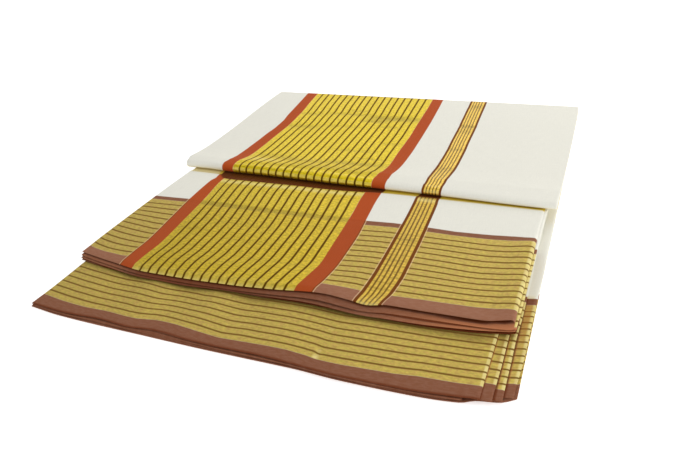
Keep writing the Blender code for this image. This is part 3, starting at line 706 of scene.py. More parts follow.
steps = {
    # name, node, level, right edge, front at the left and right, how far the front corner is drawn in
    "rows": (
        ("foldStepUpper", "fold_step_upper", 2, 0.2294, -0.3018, -0.3010, 0.0),
        ("foldStepMiddle", "fold_step_middle", 1, 0.2363, -0.3000, -0.2975, 0.0),
        ("foldStepLowest", "fold_step_lowest", 0, 0.2462, -0.2985, -0.2895, 0.0022),
    ),
    # distance from the front edge, then v of the upper, the middle and the lowest fold
    "weave": (
        (0.0000, -0.0020, 0.0030, 0.0000), (0.0600, 0.0602, 0.0716, 0.0644),
        (0.1060, 0.1087, 0.1120, 0.1137), (0.1156, 0.1188, 0.1204, 0.1280),
        (0.1261, 0.1299, 0.1296, 0.1353), (0.1305, 0.1345, 0.1335, 0.1400),
        (0.6000, 0.6100, 0.6100, 0.6100),
    ),
    "leftX": 0.2056,
    "rearY": 0.2700,
    "leaf": 0.00055,
    "round": 0.0026,
    "sway": (0.0004, 0.0002),    # how far the edge wanders, in a long and a short wave
    "shade": (0.85, 0.0019),     # tone and width of the strip that the next fold above shades
    "dusk": 0.38,            # painted shade: how dark the lowest one is beside the higher folds
    "duskFrom": (-0.245, 0.045),     # where that begins, and over how far
    "duskIn": 0.0020,
    "highlightWide": 0.0032,
    # how far the fine rows go and their step, then the whole depth and the step of the rest
    "cuts": (0.12, 0.002, 0.568, 0.006),
}


def stepRow(level, rightX, frontLeft, frontRight, taper, cut):
    # one row through both leaves of a fold: places, v and tones
    leftX, wide = steps["leftX"], steps["round"]
    turn = np.linspace(math.pi / 2, -math.pi / 2, 11)[1:-1]
    run = np.concatenate([np.linspace(0.0, 0.45, 5)[:-1], np.linspace(0.45, 1.0, 22)])
    yMid = frontRight + (steps["rearY"] - frontRight) * cut
    wander = steps["sway"][0] * math.sin(yMid * 41.0 + level * 2.1)
    wander += steps["sway"][1] * math.sin(yMid * 97.0 + level)
    edge = rightX - 0.0005 + wander - taper * float(ease(1.0 - cut / 0.16))
    flatX = leftX + (edge - wide - leftX) * run
    xs = np.concatenate([flatX, edge - wide + np.cos(turn) * wide, flatX[::-1]])
    front = frontLeft + (frontRight - frontLeft) * np.clip((xs - leftX) / (rightX - leftX), 0, 1)
    ys = front + (steps["rearY"] - front) * cut
    low = stack["cadWall"] + stack["gap"]
    ceiling = lowerHeight(xs, ys, False) - stack["cadWall"] - stack["gap"] - low
    tall = (ceiling - 2.0 * stack["gap"]) / 3.0
    part = np.concatenate([np.ones(len(run)), np.sin(turn), -np.ones(len(run))])
    zs = low + level * (tall + stack["gap"]) + tall * 0.5 * (1.0 + part)
    v = np.interp(ys - front, [row[0] for row in steps["weave"]], [row[3 - level] for row in steps["weave"]])
    # the next fold above ends at over
    over = readCurve(lowerStretch["edges"], 2, yMid) if level == 2 else steps["rows"][1 - level][3]
    # painted shade beside the next fold above and, on the lowest fold, beside the higher ones
    shade = steps["shade"][0] * ease(1.0 - (xs - over) / steps["shade"][1])
    if level == 0:
        dusk = steps["dusk"] * float(ease((yMid - steps["duskFrom"][0]) / steps["duskFrom"][1]))
        shade = np.maximum(shade, dusk * ease((edge - steps["duskIn"] - xs) / steps["duskIn"]))
    paintedGapShading = shade * (part > 0.0) * (v < 0.141)
    # painted highlight at the fold's own edge
    paintedFoldShading = edgeHighlight(xs, ys, edge, steps["highlightWide"]) * (part > -0.95)
    return np.column_stack([xs, ys, zs]), v, paintedGapShading, paintedFoldShading


fine, fineStep, depth, step = steps["cuts"]
cuts = np.concatenate([np.arange(0.0, fine, fineStep), np.arange(fine, depth, step)]) / depth
for name, nodeName, level, rightX, frontLeft, frontRight, taper in steps["rows"]:
    rows = [stepRow(level, rightX, frontLeft, frontRight, taper, cut) for cut in cuts]
    outer, v, paintedGapShading, paintedFoldShading = [np.array(part) for part in zip(*rows)]
    piece = walled(name, outer, steps["leaf"], outer[:, :, 0] + weave["plain"], v,
                   {"paintedGapShading": paintedGapShading, "paintedFoldShading": paintedFoldShading})
    dress(piece, saree, [nodeName])
print("fold steps made")


# Middle stretch and the leaf folded back under it

middleStretch = {
    "edges": (
        (-0.225, -0.2460, 0.2326), (-0.180, -0.2430, 0.2333), (-0.120, -0.2385, 0.2340),
        (-0.060, -0.2335, 0.2344), (0.000, -0.2285, 0.2350), (0.033, -0.2285, 0.2350),
    ),
    "heights": (
        (-0.232, 0.0136, 0.0150, 0.0166), (-0.205, 0.0152, 0.0168, 0.0180),
        (-0.180, 0.0162, 0.0176, 0.0186), (-0.120, 0.0176, 0.0184, 0.0192),
        (-0.060, 0.0188, 0.0190, 0.0196), (0.000, 0.0194, 0.0194, 0.0196),
        (0.033, 0.0194, 0.0194, 0.0196),
    ),
    "front": (
        (-0.246, -0.2105), (-0.200, -0.2190), (-0.150, -0.2255), (-0.100, -0.2260),
        (-0.045, -0.2250), (0.000, -0.2230), (0.050, -0.2195), (0.080, -0.2215),
        (0.098, -0.2235), (0.118, -0.2210), (0.160, -0.2220), (0.200, -0.2225), (0.232, -0.2160),
    ),
    "waves": (
        (-0.246, 0.0), (-0.200, 0.0), (-0.150, -0.0010), (-0.100, -0.0012), (-0.045, -0.0010),
        (0.000, 0.0), (0.050, 0.0014), (0.080, 0.0), (0.098, -0.0010), (0.118, 0.0002),
        (0.160, 0.0), (0.232, 0.0),
    ),
    "leafFront": (
        (-0.246, -0.2135), (-0.200, -0.2222), (-0.150, -0.2285), (-0.100, -0.2295),
        (-0.045, -0.2288), (0.000, -0.2275), (0.040, -0.2262), (0.092, -0.2292),
        (0.130, -0.2275), (0.200, -0.2262), (0.228, -0.2240), (0.238, -0.2190),
    ),
    "stackFront": (
        (-0.246, -0.2152), (-0.200, -0.2245), (-0.115, -0.2330), (-0.050, -0.2322),
        (0.000, -0.2315), (0.050, -0.2315), (0.092, -0.2332), (0.150, -0.2325),
        (0.175, -0.2308), (0.200, -0.2282), (0.238, -0.2200),
    ),
    # x, where the shoulder before the roll lies, and how deep the cloth dips behind it
    "valley": (
        (-0.246, -0.0100, 0.0012), (-0.222, -0.0123, 0.0014), (-0.205, -0.0128, 0.0016),
        (-0.183, -0.0132, 0.0024), (-0.172, -0.0222, 0.0026), (-0.162, -0.0234, 0.0027),
        (-0.117, -0.0232, 0.0028), (-0.061, -0.0229, 0.0028), (-0.033, -0.0238, 0.0027),
        (-0.007, -0.0235, 0.0025), (0.018, -0.0220, 0.0023), (0.044, -0.0195, 0.0020),
        (0.069, -0.0192, 0.0016), (0.100, -0.0198, 0.0014), (0.235, -0.0226, 0.0012),
    ),
    # x, how far the upper leaf stands off the lower one at the front
    "frontLift": (
        (-0.246, 0.0002), (-0.100, 0.0004), (0.000, 0.0007), (0.080, 0.0010),
        (0.140, 0.0018), (0.196, 0.0027), (0.213, 0.0014), (0.228, -0.0004), (0.238, -0.0004),
    ),
    # x, how far the cloth bulges up before it drops over the front of the stack
    "bulge": (
        (-0.246, 0.0), (-0.195, 0.0006), (-0.165, 0.0020), (-0.050, 0.0026), (0.010, 0.0024),
        (0.045, 0.0012), (0.080, 0.0004), (0.235, 0.0),
    ),
    # x, then how far the loop of the right fold stands up, along the whole border
    "loop": ((0.196, 0.0), (0.212, 0.0010), (0.221, 0.0028), (0.228, 0.0038), (0.235, 0.0036)),
    "marks": (
        (-0.050, -0.086, 0.120, 0.004, 0.0003), (0.190, -0.140, 0.004, 0.060, 0.0003),
        (0.215, -0.110, 0.005, 0.070, -0.0002), (-0.100, -0.150, 0.060, 0.010, 0.0003),
        (0.010, -0.165, 0.050, 0.010, 0.0003), (0.070, -0.190, 0.010, 0.020, -0.0003),
    ),
    # painted shade in the soft creases: x, y, half length, half width and tone, where below 0 darkens
    "tones": (
        (-0.050, -0.086, 0.120, 0.005, -0.25), (-0.100, -0.120, 0.050, 0.006, -0.12),
        (0.000, -0.108, 0.040, 0.005, -0.12), (-0.145, -0.140, 0.020, 0.008, -0.12),
        (-0.060, -0.152, 0.040, 0.006, -0.10), (-0.020, -0.182, 0.040, 0.006, -0.10),
        (0.104, -0.110, 0.012, 0.005, -0.25), (0.104, -0.150, 0.012, 0.006, -0.12),
    ),
    "waveReach": 0.05,       # how far back the waves of the front edge go
    "liftReach": 0.018,
    "bulgeRise": 0.006,
    "bulgeFall": (0.008, 0.045),
    "valleySoft": 0.007,
    "valleyEnd": (0.030, 0.014),
    "loopEnd": (0.148, 0.030),
    "borderY": -0.2225,      # where v is 0 on this stretch
    "glint": (0.45, 0.0050, 0.0042),     # of the gilt before the shoulder: tone, how far before, width
    "highlightWide": 0.0040,
    "curl": ((0.0009, 0.0009), (0.0036, 0.0032)),
    "wall": 0.0008,
    "cuts": (0.250, 0.0018, 0.2534),
    "columns": 210,
}

underLeaf = {
    "sides": (0.0005, 0.0022),   # how far its sides lie to the right of the upper leaf's
    "drop": (0.0008, 0.014),     # how far its front hangs, and how far back that reaches
    "covered": (0.9, 0.0012),    # painted shade under the upper leaf: its tone, and how soon it comes
    "goldEndX": 0.229,
    "slip": (0.0145, 0.0032, 0.0008),    # the border shows at the right fold: how much, width, softness
    "weave": 1.02,
    "highlightWide": 0.0026,
    "curl": ((0.0008, 0.0008), (0.0028, 0.0014)),
    "cuts": (0.060, 0.0025, 0.2534),
    "columns": 120,
    # x, then the painted light on the front ends of this leaf and those under it:
    # above 0 a painted highlight that makes them pale, below 0 painted shade that makes them dark
    "endShading": (
        (-0.246, 0.14), (-0.190, 0.12), (-0.145, -0.60), (-0.060, -0.60), (-0.020, -0.30),
        (0.000, -0.15), (0.030, -0.10),
        (0.080, 0.00), (0.140, 0.20), (0.200, 0.60), (0.238, 0.60),
    ),
}


def middleHeight(x, y, marks=True):
    # without marks it leaves out the soft forms that only this stretch has
    back = y - readCurve(middleStretch["front"], 1, x)
    z = readHeight(middleStretch["heights"], x, y)
    z = z + readCurve(middleStretch["waves"], 1, x) * ease(1.0 - back / middleStretch["waveReach"])
    begin, soft = middleStretch["valleyEnd"]
    dip = ease((y - readCurve(middleStretch["valley"], 1, x)) / middleStretch["valleySoft"])
    z = z - readCurve(middleStretch["valley"], 2, x) * dip * ease((begin - y) / soft)
    if marks:
        begin, soft = middleStretch["bulgeFall"]
        bulge = ease(back / middleStretch["bulgeRise"]) * ease(1.0 - (back - begin) / soft)
        z = z + readCurve(middleStretch["bulge"], 1, x) * bulge
        z = z + softMarks(middleStretch["marks"], x, y)
        z = z + readCurve(middleStretch["frontLift"], 1, x) * ease(1.0 - back / middleStretch["liftReach"])
        begin, soft = middleStretch["loopEnd"]
        border = ease((begin - back) / soft) * (0.88 + 0.12 * np.sin(back * 61.0))
        z = z + readCurve(middleStretch["loop"], 1, x) * border
    return z


cuts = backCuts(*middleStretch["cuts"])
x, y, back = flatGrid(middleStretch["edges"], middleStretch["front"], stack["tuckY"], cuts,
                      middleStretch["columns"])
outer = curlEdges(np.dstack([x, y, middleHeight(x, y)]), *middleStretch["curl"])
v = borderV(weave["middleBorder"], weave["borderMarks"], x, y - middleStretch["borderY"])
behind = y - readCurve(middleStretch["valley"], 1, x)
glintTone, glintPlace, glintWide = middleStretch["glint"]
glint = glintTone * np.exp(-((behind + glintPlace) / glintWide) ** 2)
# painted highlight along the front edge, stronger towards the left
lip = (0.09 + 0.07 * ease((0.02 - x) / 0.04)) * ease(1.0 - back / 0.014) + 0.22 * ease(1.0 - back / 0.0030)
# painted shade in the creases
creases = np.clip(softMarks(middleStretch["tones"], x, y), 0.0, 1.0)
# painted shade behind the shoulder, least at the left end,
# and a painted highlight that keeps the selvedge a little pale
dark = ease((behind + 0.0002) / 0.0034) * (0.6 + 0.4 * ease((x + 0.190) / 0.008))
darker = 1.0 + ease((behind - 0.0030) / 0.0120) * ease((x + 0.188) / 0.006)
shades = {"paintedFoldShading": creases + edgeHighlight(x, y, x[:, -1:], middleStretch["highlightWide"]) - glint - lip,
          "paintedGapShading": dark * darker - 0.19 * ease((0.0168 - v) / 0.0006)}
u = stripeU(x, np.median(y, axis=1))
middlePiece = walled("middleStretch", outer, middleStretch["wall"], u, v, shades)
dress(middlePiece, saree, ["middle_panel"])

leftMore, rightMore = underLeaf["sides"]
leafEdges = [(rowY, left + leftMore, right + rightMore) for rowY, left, right in middleStretch["edges"]]
cuts = backCuts(*underLeaf["cuts"])
x, y, back = flatGrid(leafEdges, middleStretch["leafFront"], stack["tuckY"], cuts, underLeaf["columns"])
drop = underLeaf["drop"][0] * ease(1.0 - back / underLeaf["drop"][1])
z = middleHeight(x, y, False) - stack["cadWall"] - stack["gap"] - drop
outer = curlEdges(np.dstack([x, y, z]), *underLeaf["curl"])
# painted shade where the upper leaf covers it, and painted light on its front end
covered = y - readCurve(middleStretch["front"], 1, x)
tone, soft = underLeaf["covered"]
paintedGapShading = tone * ease(covered / soft) * (x < underLeaf["goldEndX"])
paintedGapShading = paintedGapShading - readCurve(underLeaf["endShading"], 1, x) * ease(1.0 - covered / soft)
slip, slipWide, slipSoft = underLeaf["slip"]
v = back * underLeaf["weave"] + slip * ease((x - x[:, -1:] + slipWide) / slipSoft)
leafPiece = walled("middleUnderLeaf", outer, middleStretch["wall"], x + weave["plain"], v,
                   {"paintedGapShading": paintedGapShading, "paintedFoldShading": edgeHighlight(x, y, x[:, -1:], underLeaf["highlightWide"])})
dress(leafPiece, saree, ["middle_under_leaf"])
print("middle stretch made")


# Top stretch: the fold over the back, the flat top and the roll, down to the tuck

topStretch = {
    "edges": (
        (-0.020, -0.2390, 0.2472), (0.000, -0.2425, 0.2474), (0.020, -0.2462, 0.2475),
        (0.060, -0.2470, 0.2475), (0.180, -0.2468, 0.2475), (0.270, -0.2455, 0.2470),
        (0.309, -0.2435, 0.2450),
    ),
    "heights": (
        (0.015, 0.0290, 0.0285, 0.0264), (0.027, 0.0262, 0.0258, 0.0244),
        (0.040, 0.0232, 0.0232, 0.0224), (0.055, 0.0212, 0.0212, 0.0206),
        (0.078, 0.0196, 0.0198, 0.0192), (0.105, 0.0184, 0.0186, 0.0180),
        (0.165, 0.0172, 0.0174, 0.0170), (0.250, 0.0168, 0.0170, 0.0166),
        (0.300, 0.0160, 0.0160, 0.0156),
    ),
    # x, front, half depth and crest of the roll
    "roll": (
        (-0.245, -0.0030, 0.0080, 0.0285), (-0.205, -0.0028, 0.0085, 0.0290),
        (-0.160, -0.0045, 0.0102, 0.0290), (-0.130, -0.0050, 0.0117, 0.0290),
        (-0.100, -0.0060, 0.0123, 0.0289), (-0.070, -0.0073, 0.0132, 0.0288),
        (-0.040, -0.0087, 0.0150, 0.0287), (-0.015, -0.0098, 0.0145, 0.0286),
        (0.012, -0.0103, 0.0125, 0.0285), (0.050, -0.0118, 0.0120, 0.0284),
        (0.126, -0.0150, 0.0110, 0.0279), (0.228, -0.0186, 0.0090, 0.0266),
        (0.245, -0.0186, 0.0080, 0.0262),
    ),
    # x, y, half length, half width and depth of each soft trough
    "marks": (
        (-0.145, 0.213, 0.025, 0.006, 0.00035), (-0.085, 0.220, 0.035, 0.006, 0.00045),
        (-0.010, 0.213, 0.042, 0.010, 0.0008), (-0.075, 0.234, 0.018, 0.005, 0.0003),
        (-0.037, 0.198, 0.020, 0.005, 0.0004), (-0.142, 0.163, 0.028, 0.008, 0.0005),
        (-0.085, 0.172, 0.030, 0.006, 0.0004), (-0.010, 0.180, 0.018, 0.006, 0.0003),
        (0.015, 0.122, 0.018, 0.005, 0.00025), (-0.030, 0.090, 0.032, 0.006, 0.0003),
        (0.005, 0.066, 0.030, 0.003, 0.0003), (-0.130, 0.050, 0.030, 0.006, 0.0004),
        (-0.010, 0.046, 0.045, 0.008, 0.0004), (0.103, 0.277, 0.030, 0.010, 0.0004),
        (0.103, 0.200, 0.035, 0.005, 0.0005), (0.103, 0.182, 0.025, 0.008, 0.0003),
        (0.105, 0.120, 0.030, 0.005, 0.00035), (0.107, 0.055, 0.025, 0.008, 0.0003),
        (0.180, 0.150, 0.060, 0.030, 0.0004), (-0.210, 0.140, 0.030, 0.020, 0.0003),
        (0.200, 0.050, 0.020, 0.030, -0.0003), (-0.220, 0.230, 0.020, 0.020, -0.0003),
    ),
    # painted shade in the soft troughs: x, y, half length, half width and tone, where below 0 is painted
    # shade and above 0 a painted highlight
    "tones": (
        (-0.145, 0.213, 0.025, 0.005, -0.30), (-0.085, 0.220, 0.035, 0.005, -0.40),
        (-0.010, 0.213, 0.042, 0.010, -0.65), (-0.075, 0.234, 0.018, 0.004, -0.35),
        (-0.037, 0.198, 0.022, 0.006, -0.45), (-0.142, 0.163, 0.028, 0.007, -0.40),
        (-0.085, 0.172, 0.030, 0.006, -0.25), (-0.010, 0.180, 0.018, 0.006, -0.30),
        (0.015, 0.122, 0.018, 0.004, -0.30), (-0.030, 0.090, 0.032, 0.005, -0.25),
        (0.005, 0.066, 0.030, 0.002, -0.45), (-0.130, 0.050, 0.030, 0.006, -0.30),
        (-0.010, 0.046, 0.045, 0.008, -0.45), (-0.090, 0.040, 0.040, 0.006, -0.35),
        (-0.050, 0.012, 0.085, 0.005, -0.32), (-0.030, 0.022, 0.060, 0.006, -0.20),
        (0.040, 0.0080, 0.062, 0.0036, -0.26), (-0.135, 0.030, 0.022, 0.007, 0.28),
        (-0.030, 0.304, 0.150, 0.004, -0.70), (0.101, 0.279, 0.010, 0.008, -0.45),
        (0.103, 0.201, 0.018, 0.005, -0.60), (0.103, 0.182, 0.015, 0.008, -0.30),
        (0.105, 0.120, 0.018, 0.005, -0.40), (0.107, 0.055, 0.018, 0.008, -0.35),
    ),
    # painted shade on the gilt round the roll, from its underside at -1 to its crest at 1;
    # below 0 is a painted highlight
    "rollTones": (
        (-1.00, 0.75), (-0.50, 0.75), (-0.35, 0.55), (-0.20, 0.35), (-0.08, 0.12), (0.05, -0.25),
        (0.20, -0.30), (0.40, -0.22), (0.50, 0.10), (0.60, 0.35), (0.72, 0.05), (0.85, -0.10),
        (0.93, -0.25), (1.00, 0.0),
    ),
    "square": 0.86,          # 1 gives an oval nose, less a boxier one
    "curl": 0.0011,          # reach and depth of the rounded sides
    "rollCurl": (0.0045, 0.0012),    # and how much more they have at the roll, left and right
    "wall": 0.0009,
    "seamV": 0.2550,         # v where it leaves the tuck
    "columns": 190,
    "topRows": 128,
}


def topHeight(x, y, marks=True):
    crest = readCurve(topStretch["roll"], 3, x)
    near = ease((0.020 - y) / 0.010)
    z = readHeight(topStretch["heights"], x, y)
    z = z + (crest - z) * near
    return z + softMarks(topStretch["marks"], x, y) if marks else z


def noseProfile(x, inset, turns):
    # rounded front of the roll; a turn of -1 is its underside and 1 its crest
    front, depth, crest = [readCurve(topStretch["roll"], k, x) for k in (1, 2, 3)]
    below = middleHeight(x, front + depth, False) + stack["gap"]
    tall = (crest - below) / 2.0
    angle = math.pi / 2 * turns
    across, rise = np.cos(angle) ** topStretch["square"], abs(np.sin(angle)) ** topStretch["square"]
    y = front + depth - (depth - inset) * across
    return y, below + tall + (tall - inset) * rise * np.sign(turns)


def topGrid():
    nose = np.linspace(-1.0, 1.0, 27)
    top = np.linspace(0.0, 1.0, topStretch["topRows"])[1:]
    bend = np.linspace(math.pi / 2, -math.pi / 2, 16)[1:]
    plan = [("tuck", t) for t in np.linspace(0.0, 1.0, 7)[:-1]]
    plan += [("nose", t) for t in nose] + [("top", t) for t in top] + [("bend", t) for t in bend]
    plan += [("under", t) for t in (0.5, 1.0)]
    rows = []
    for part, t in plan:
        x = acrossXs(-0.24, 0.247, topStretch["columns"])
        # the side edges depend on y and y on x, which settle in three rounds
        for _ in range(3):
            frontY = readCurve(topStretch["roll"], 1, x) + readCurve(topStretch["roll"], 2, x)
            radius = topHeight(x, np.full(x.shape, stack["bendStartY"]), False) / 2.0
            centre = stack["backY"] - radius
            if part == "tuck":
                y = stack["tuckY"] + (frontY - stack["tuckY"]) * t
                z = middleHeight(x, y, False) + stack["gap"]
            elif part == "nose":
                y, z = noseProfile(x, 0.0, t)
            elif part == "top":
                y = frontY + (centre - frontY) * t
                z = topHeight(x, y)
            elif part == "bend":
                y, z = centre + radius * math.cos(t), radius + radius * math.sin(t)
            else:
                y, z = centre + (stack["backSeamY"] - centre) * t, np.zeros(x.shape)
            mid = y[len(y) // 2]
            left, right = readCurve(topStretch["edges"], 1, mid), readCurve(topStretch["edges"], 2, mid)
            x = acrossXs(left, right, topStretch["columns"])
        rows.append(np.column_stack([x, y, z]))
    return np.array(rows), plan


points, plan = topGrid()
x, y = points[:, :, 0], points[:, :, 1]
turn = np.array([t if part == "nose" else (-1.0 if part == "tuck" else 1.0) for part, t in plan])
tucked = np.array([part == "tuck" for part, t in plan])
nearRoll = np.array([float(ease((t + 1.0) / 0.7)) if part == "nose" else 0.0 for part, t in plan])
nearRoll = np.maximum(nearRoll, ease((0.045 - y[:, 100]) / 0.030) * ~tucked * (turn > 0.999))
curlLeft, curlRight = [topStretch["curl"] + more * nearRoll for more in topStretch["rollCurl"]]
outer = curlEdges(points, (curlLeft, curlLeft), (curlRight, curlRight))
run = np.linalg.norm(np.diff(points[:, 100], axis=0), axis=1)
v = topStretch["seamV"] + np.concatenate([[0.0], np.cumsum(run)])
v = np.broadcast_to(v[:, None], x.shape)
rowYs = [0.0 if part in ("nose", "tuck") else np.median(ys) for (part, t), ys in zip(plan, y)]
rowYs = [max(rowY, 0.0 if part == "nose" else 0.005) for (part, t), rowY in zip(plan, rowYs)]
# painted shade and highlights round the roll and in the soft troughs, and painted shade on the roll's
# underside
rollShading = readCurve(topStretch["rollTones"], 1, turn)[:, None]
rollShading = rollShading * (0.8 + 0.2 * np.sin(x * 53.0) * np.sin(x * 131.0 + 1.0))
creases = np.clip(softMarks(topStretch["tones"], x, y), -1.0, 1.0) * (points[:, :, 2] > 0.014)
paintedGapShading = np.broadcast_to(0.5 * ease((-0.02 - turn) / 0.40)[:, None], x.shape)
topPiece = walled("topStretch", outer, topStretch["wall"], stripeU(x, rowYs), v,
                  {"paintedFoldShading": creases + rollShading, "paintedGapShading": paintedGapShading})
dress(topPiece, saree, ["top_panel"])
print("top stretch made")


# Folds inside the roll, nested

rollFolds = {
    "leaves": 3,
    "outermost": 0.84,       # size of the outermost, as a part of the roll's inside
    "step": 0.27,            # how much smaller each next one is
    "part": 0.20,            # thickness, as the same part
    "ends": (-0.2315, 0.2420),
    "v": 0.30,
}


def rollLeaf(scale):
    inset = stack["cadWall"] + stack["gap"]
    turns = np.linspace(1.0, -1.0, 15)
    upper = np.linspace(0.0, 1.0, 11)[:-1]
    rows = []
    for j in range(len(turns) + 2 * len(upper)):
        x = np.linspace(*rollFolds["ends"], 60)
        front, depth = readCurve(topStretch["roll"], 1, x), readCurve(topStretch["roll"], 2, x)
        if len(upper) <= j < len(upper) + len(turns):
            t = turns[j - len(upper)]
            y, z = noseProfile(x, inset, t)
            zc = noseProfile(x, inset, 0.0)[1]
            y = front + depth + (y - front - depth) * scale
            z = zc + (z - zc) * scale
        else:
            part = upper[j] if j < len(upper) else upper[::-1][j - len(upper) - len(turns)]
            y = stack["tailY"] + (front + depth - stack["tailY"]) * part
            over = topHeight(x, y, False) - inset
            below = middleHeight(x, y, False) + 2.0 * stack["gap"] + stack["cadWall"]
            zc = 0.5 * (over + below)
            z = zc + 0.5 * (over - below) * scale * (1.0 if j < len(upper) else -1.0)
        rows.append(np.column_stack([x, y, z]))
    return np.array(rows)[::-1]


for k in range(rollFolds["leaves"]):
    scale = rollFolds["outermost"] - rollFolds["step"] * k
    outer = rollLeaf(scale + rollFolds["part"] / 2)
    inner = rollLeaf(scale - rollFolds["part"] / 2)
    u = outer[:, :, 0] + weave["plain"]
    piece = clothBody(f"rollFold{k + 1}", outer, inner, u, np.full(u.shape, rollFolds["v"]))
    dress(piece, saree, ["roll_layers"])
print("roll folds made")


# Folds that nothing shows, from the lower front round the back to the upper front

hidden = {
    "leaves": 4,
    "coreRightX": 0.2052,
    "flareY": 0.2705,
    "flareDepth": 0.0095,
    "bendLeftX": -0.2425,
    "bendRightX": 0.2440,
    "upperLeftX": -0.2445,
    "upperRightX": 0.2345,
    "between": 0.05,         # part of a leaf left open between two
    "part": 0.40,            # and how much thinner a leaf is at the upper front
    "backEnd": 0.5750,       # how far back the lower half goes level, and the upper one
    "upperEnd": 0.5100,
    "upperFrontY": -0.2300,
    "bendY": 0.2900,
    "columns": 34,
    "upperZ": 0.0085,        # front ends above this lie in the upper half
    # painted shade on the front ends in the lower half
    "lowerEndShade": 0.12,
    # x, then how far the lower leaves stand back there
    "recess": (
        (-0.246, 0.0), (-0.190, 0.0010), (-0.150, 0.0030), (-0.110, 0.0050), (-0.050, 0.0050),
        (0.000, 0.0040), (0.050, 0.0030), (0.100, 0.0015), (0.150, 0.0), (0.235, 0.0),
    ),
    "wander": 0.0009,
    # from the leaf under the middle stretch down: the painted shade on the front ends, where 0 takes the
    # painted light of underLeaf's ends, and how far they stand back
    "shadow": (0.85, 0.0, 0.85, 0.95),
    "back": (0.0018, -0.0006, 0.0016, 0.0010),
}


def hiddenXs(left, right, y, leaf, keepRight):
    # each leaf's sides wander in their own way; keepRight holds them inside the fold steps
    wander = hidden["wander"]
    sway = wander * math.sin(23.0 * y + 1.9 * leaf) + 0.5 * wander * math.sin(71.0 * y + 4.1 * leaf)
    turned = wander * (math.sin(19.0 * y + 2.7 * leaf) - 1.0)
    turned = turned if keepRight else turned * 0.5
    return acrossXs(left + 0.0006 + sway * 0.7, right + turned, hidden["columns"])


def lowerRow(w, leaf, back):
    inset = stack["cadWall"] + stack["gap"]
    y0 = readCurve(lowerStretch["bottomFront"], 1, 0.0)
    rowY = y0 + back
    flare = float(ease((rowY - hidden["flareY"]) / hidden["flareDepth"]))
    left = float(readCurve(lowerStretch["edges"], 1, rowY)) + 0.0004
    right = hidden["coreRightX"] + (hidden["bendRightX"] - hidden["coreRightX"]) * flare
    x = hiddenXs(left, right, rowY, leaf, True)
    bottom = readCurve(lowerStretch["bottomFront"], 1, x)
    top = readCurve(lowerStretch["front"], 1, x)
    start = bottom + 0.0012 + (top - bottom) * w + 0.0010 * math.sin(2.4 * leaf + 0.6)
    start = start + 0.0005 * np.sin(31.0 * x + 2.2 * leaf)
    y = start + (y0 + hidden["backEnd"] - start) * back / hidden["backEnd"]
    high = lowerHeight(x, y, False) - inset
    return np.column_stack([x, y, inset + (high - inset) * w])


def bendRow(w, leaf, angle):
    inset = stack["cadWall"] + stack["gap"]
    x = hiddenXs(hidden["bendLeftX"], hidden["bendRightX"], hidden["bendY"], leaf, False)
    radius = topHeight(x, np.full(x.shape, stack["bendStartY"]), False) / 2.0
    centre = stack["backY"] - radius
    slotZ = lowerHeight(x, np.full(x.shape, stack["lowerRearY"]), False) - stack["cadWall"] / 2.0
    halfGap = stack["cadWall"] / 2.0 + stack["gap"]
    across, rise = math.cos(angle), math.sin(angle)
    outerY, outerZ = centre + (radius - inset) * across, radius + (radius - inset) * rise
    innerY, innerZ = centre + halfGap * across, slotZ + halfGap * rise
    return np.column_stack([x, outerY + (innerY - outerY) * w, outerZ + (innerZ - outerZ) * w])


def upperRow(w, leaf, back):
    inset = stack["cadWall"] + stack["gap"]
    y0 = hidden["upperFrontY"]
    rowY = y0 + back
    behind = float(ease((rowY - 0.045) / 0.025))
    left = float(readCurve(middleStretch["edges"], 1, rowY)) + 0.0008
    left += (hidden["upperLeftX"] - left) * behind
    right = hidden["upperRightX"] + (stack["spreadX"] - hidden["upperRightX"]) * behind
    x = hiddenXs(left, right, rowY, leaf, False)
    leafFront = readCurve(middleStretch["leafFront"], 1, x)
    lastFront = readCurve(middleStretch["stackFront"], 1, x)
    start = leafFront - 0.0006 + (lastFront - leafFront) * w ** 0.6 + 0.0005 * math.sin(2.9 * leaf + 1.0)
    start = start + 0.0008 * np.sin(27.0 * x + 1.7 * leaf)
    start = start + readCurve(hidden["recess"], 1, x) * w + hidden["back"][leaf]
    y = start + (y0 + hidden["upperEnd"] - start) * back / hidden["upperEnd"]
    drop = ease((0.0400 - y) / 0.0070)
    behindZ = topHeight(x, y, False) - inset
    frontZ = middleHeight(x, y, False) - 2.0 * inset
    high = behindZ + (frontZ - behindZ) * drop
    low = lowerHeight(x, y, False) + stack["gap"]
    thinner = hidden["part"] * (leaf + 0.5) / hidden["leaves"] - hidden["part"] * w
    parted = w + thinner * float(ease(1.0 - back / 0.012))
    return np.column_stack([x, y, high + (low - high) * parted])


def hiddenGrid(w, leaf):
    lowerYs = np.concatenate([[0.0, 0.0015, 0.004, 0.008], np.linspace(0.014, hidden["backEnd"], 70)])
    upperYs = np.concatenate([np.linspace(0.505, 0.014, 62), [0.008, 0.004, 0.0015, 0.0]])
    bend = np.linspace(-math.pi / 2, math.pi / 2, 13)
    rows = [lowerRow(w, leaf, back) for back in lowerYs]
    rows += [bendRow(w, leaf, angle) for angle in bend]
    rows += [upperRow(w, leaf, back) for back in upperYs]
    return np.array(rows), np.concatenate([lowerYs, np.full(len(bend), 0.60), upperYs])


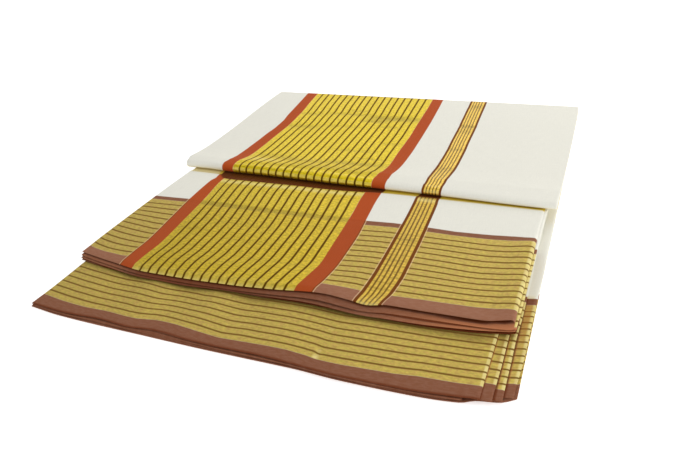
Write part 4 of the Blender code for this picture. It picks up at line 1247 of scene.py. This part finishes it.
for k in range(hidden["leaves"]):
    first, spans = hiddenGrid((k + hidden["between"]) / hidden["leaves"], k)
    second, spans = hiddenGrid((k + 1.0 - hidden["between"]) / hidden["leaves"], k)
    u = first[:, :, 0] + weave["plain"]
    v = np.broadcast_to(spans[:, None], u.shape)
    tone = hidden["shadow"][k]
    if tone == 0.0:
        tone = -readCurve(underLeaf["endShading"], 1, first[:, :, 0])
    # painted shade on the front ends of the leaves
    deep = np.where(first[:, :, 2] > hidden["upperZ"], tone, hidden["lowerEndShade"]) * (v < 0.012)
    piece = clothBody(f"hiddenFold{hidden['leaves'] - k}", first[::-1], second[::-1], u[::-1], v[::-1],
                      {"paintedGapShading": deep[::-1]})
    dress(piece, saree, ["hidden_layers"])
print("hidden folds made")


# Floor, light and camera

room = {
    "floor": 10.0,
    "world": 0.49,
    # name, place, size and power of each soft box
    "lights": (
        ("overheadBox", (0.2, 0.1, 1.7), 1.5, 5.0),
        ("backLeftBox", (-0.55, 1.55, 1.0), 1.4, 5.5),
        ("backRightBox", (0.75, 1.55, 1.0), 0.9, 8.0),
        ("sideBox", (1.6, -0.3, 0.6), 0.8, 7.0),
        ("frontBox", (-0.35, -1.5, 0.45), 0.9, 3.0),
    ),
}
view = {
    "place": (0.28543, -0.67588, 0.39487),
    # the directions that lie to the right, up and backwards in the picture
    "right": (0.93277, 0.35072, -0.08333),
    "up": (-0.11823, 0.51602, 0.84838),
    "back": (0.34054, -0.78148, 0.52279),
    "lens": 34.03,
    "sensor": 36.0,
}

floorPaint = bpy.data.materials.new("mattWhitePaper")  # seamless paper: no gloss, no grain that shows
floorPaint.use_nodes = True
paper = floorPaint.node_tree.nodes["Principled BSDF"]
paper.inputs["Base Color"].default_value = linearColour("#FAFAFA")
paper.inputs["Roughness"].default_value = 0.95
paper.inputs["Emission Color"].default_value = (1.0, 1.0, 1.0, 1.0)
paper.inputs["Emission Strength"].default_value = 0.5
bpy.ops.object.select_all(action="DESELECT")
bpy.ops.mesh.primitive_plane_add(size=room["floor"], location=(0.0, 0.0, -0.0002))
floor = bpy.context.active_object
floor.name = "floor"
floor.data.materials.append(floorPaint)

world = bpy.data.worlds.new("studio")
bpy.context.scene.world = world
world.use_nodes = True
world.node_tree.nodes["Background"].inputs[0].default_value = (1.0, 1.0, 1.0, 1.0)
world.node_tree.nodes["Background"].inputs[1].default_value = room["world"]

for name, place, size, power in room["lights"]:
    bpy.ops.object.light_add(type="AREA", location=place)
    lamp = bpy.context.active_object
    lamp.name = name
    lamp.data.size = size
    lamp.data.energy = power
    lamp.rotation_euler = (-lamp.location).to_track_quat("-Z", "Y").to_euler()

bpy.ops.object.camera_add(location=view["place"])
camera = bpy.context.active_object
camera.data.sensor_width = view["sensor"]
camera.data.lens = view["lens"]
camera.data.clip_start = 0.01
turned = Matrix((view["right"], view["up"], view["back"])).transposed().to_4x4()
camera.matrix_world = Matrix.Translation(view["place"]) @ turned
bpy.context.scene.camera = camera
bpy.context.scene.view_settings.view_transform = "Standard"
print("room made")
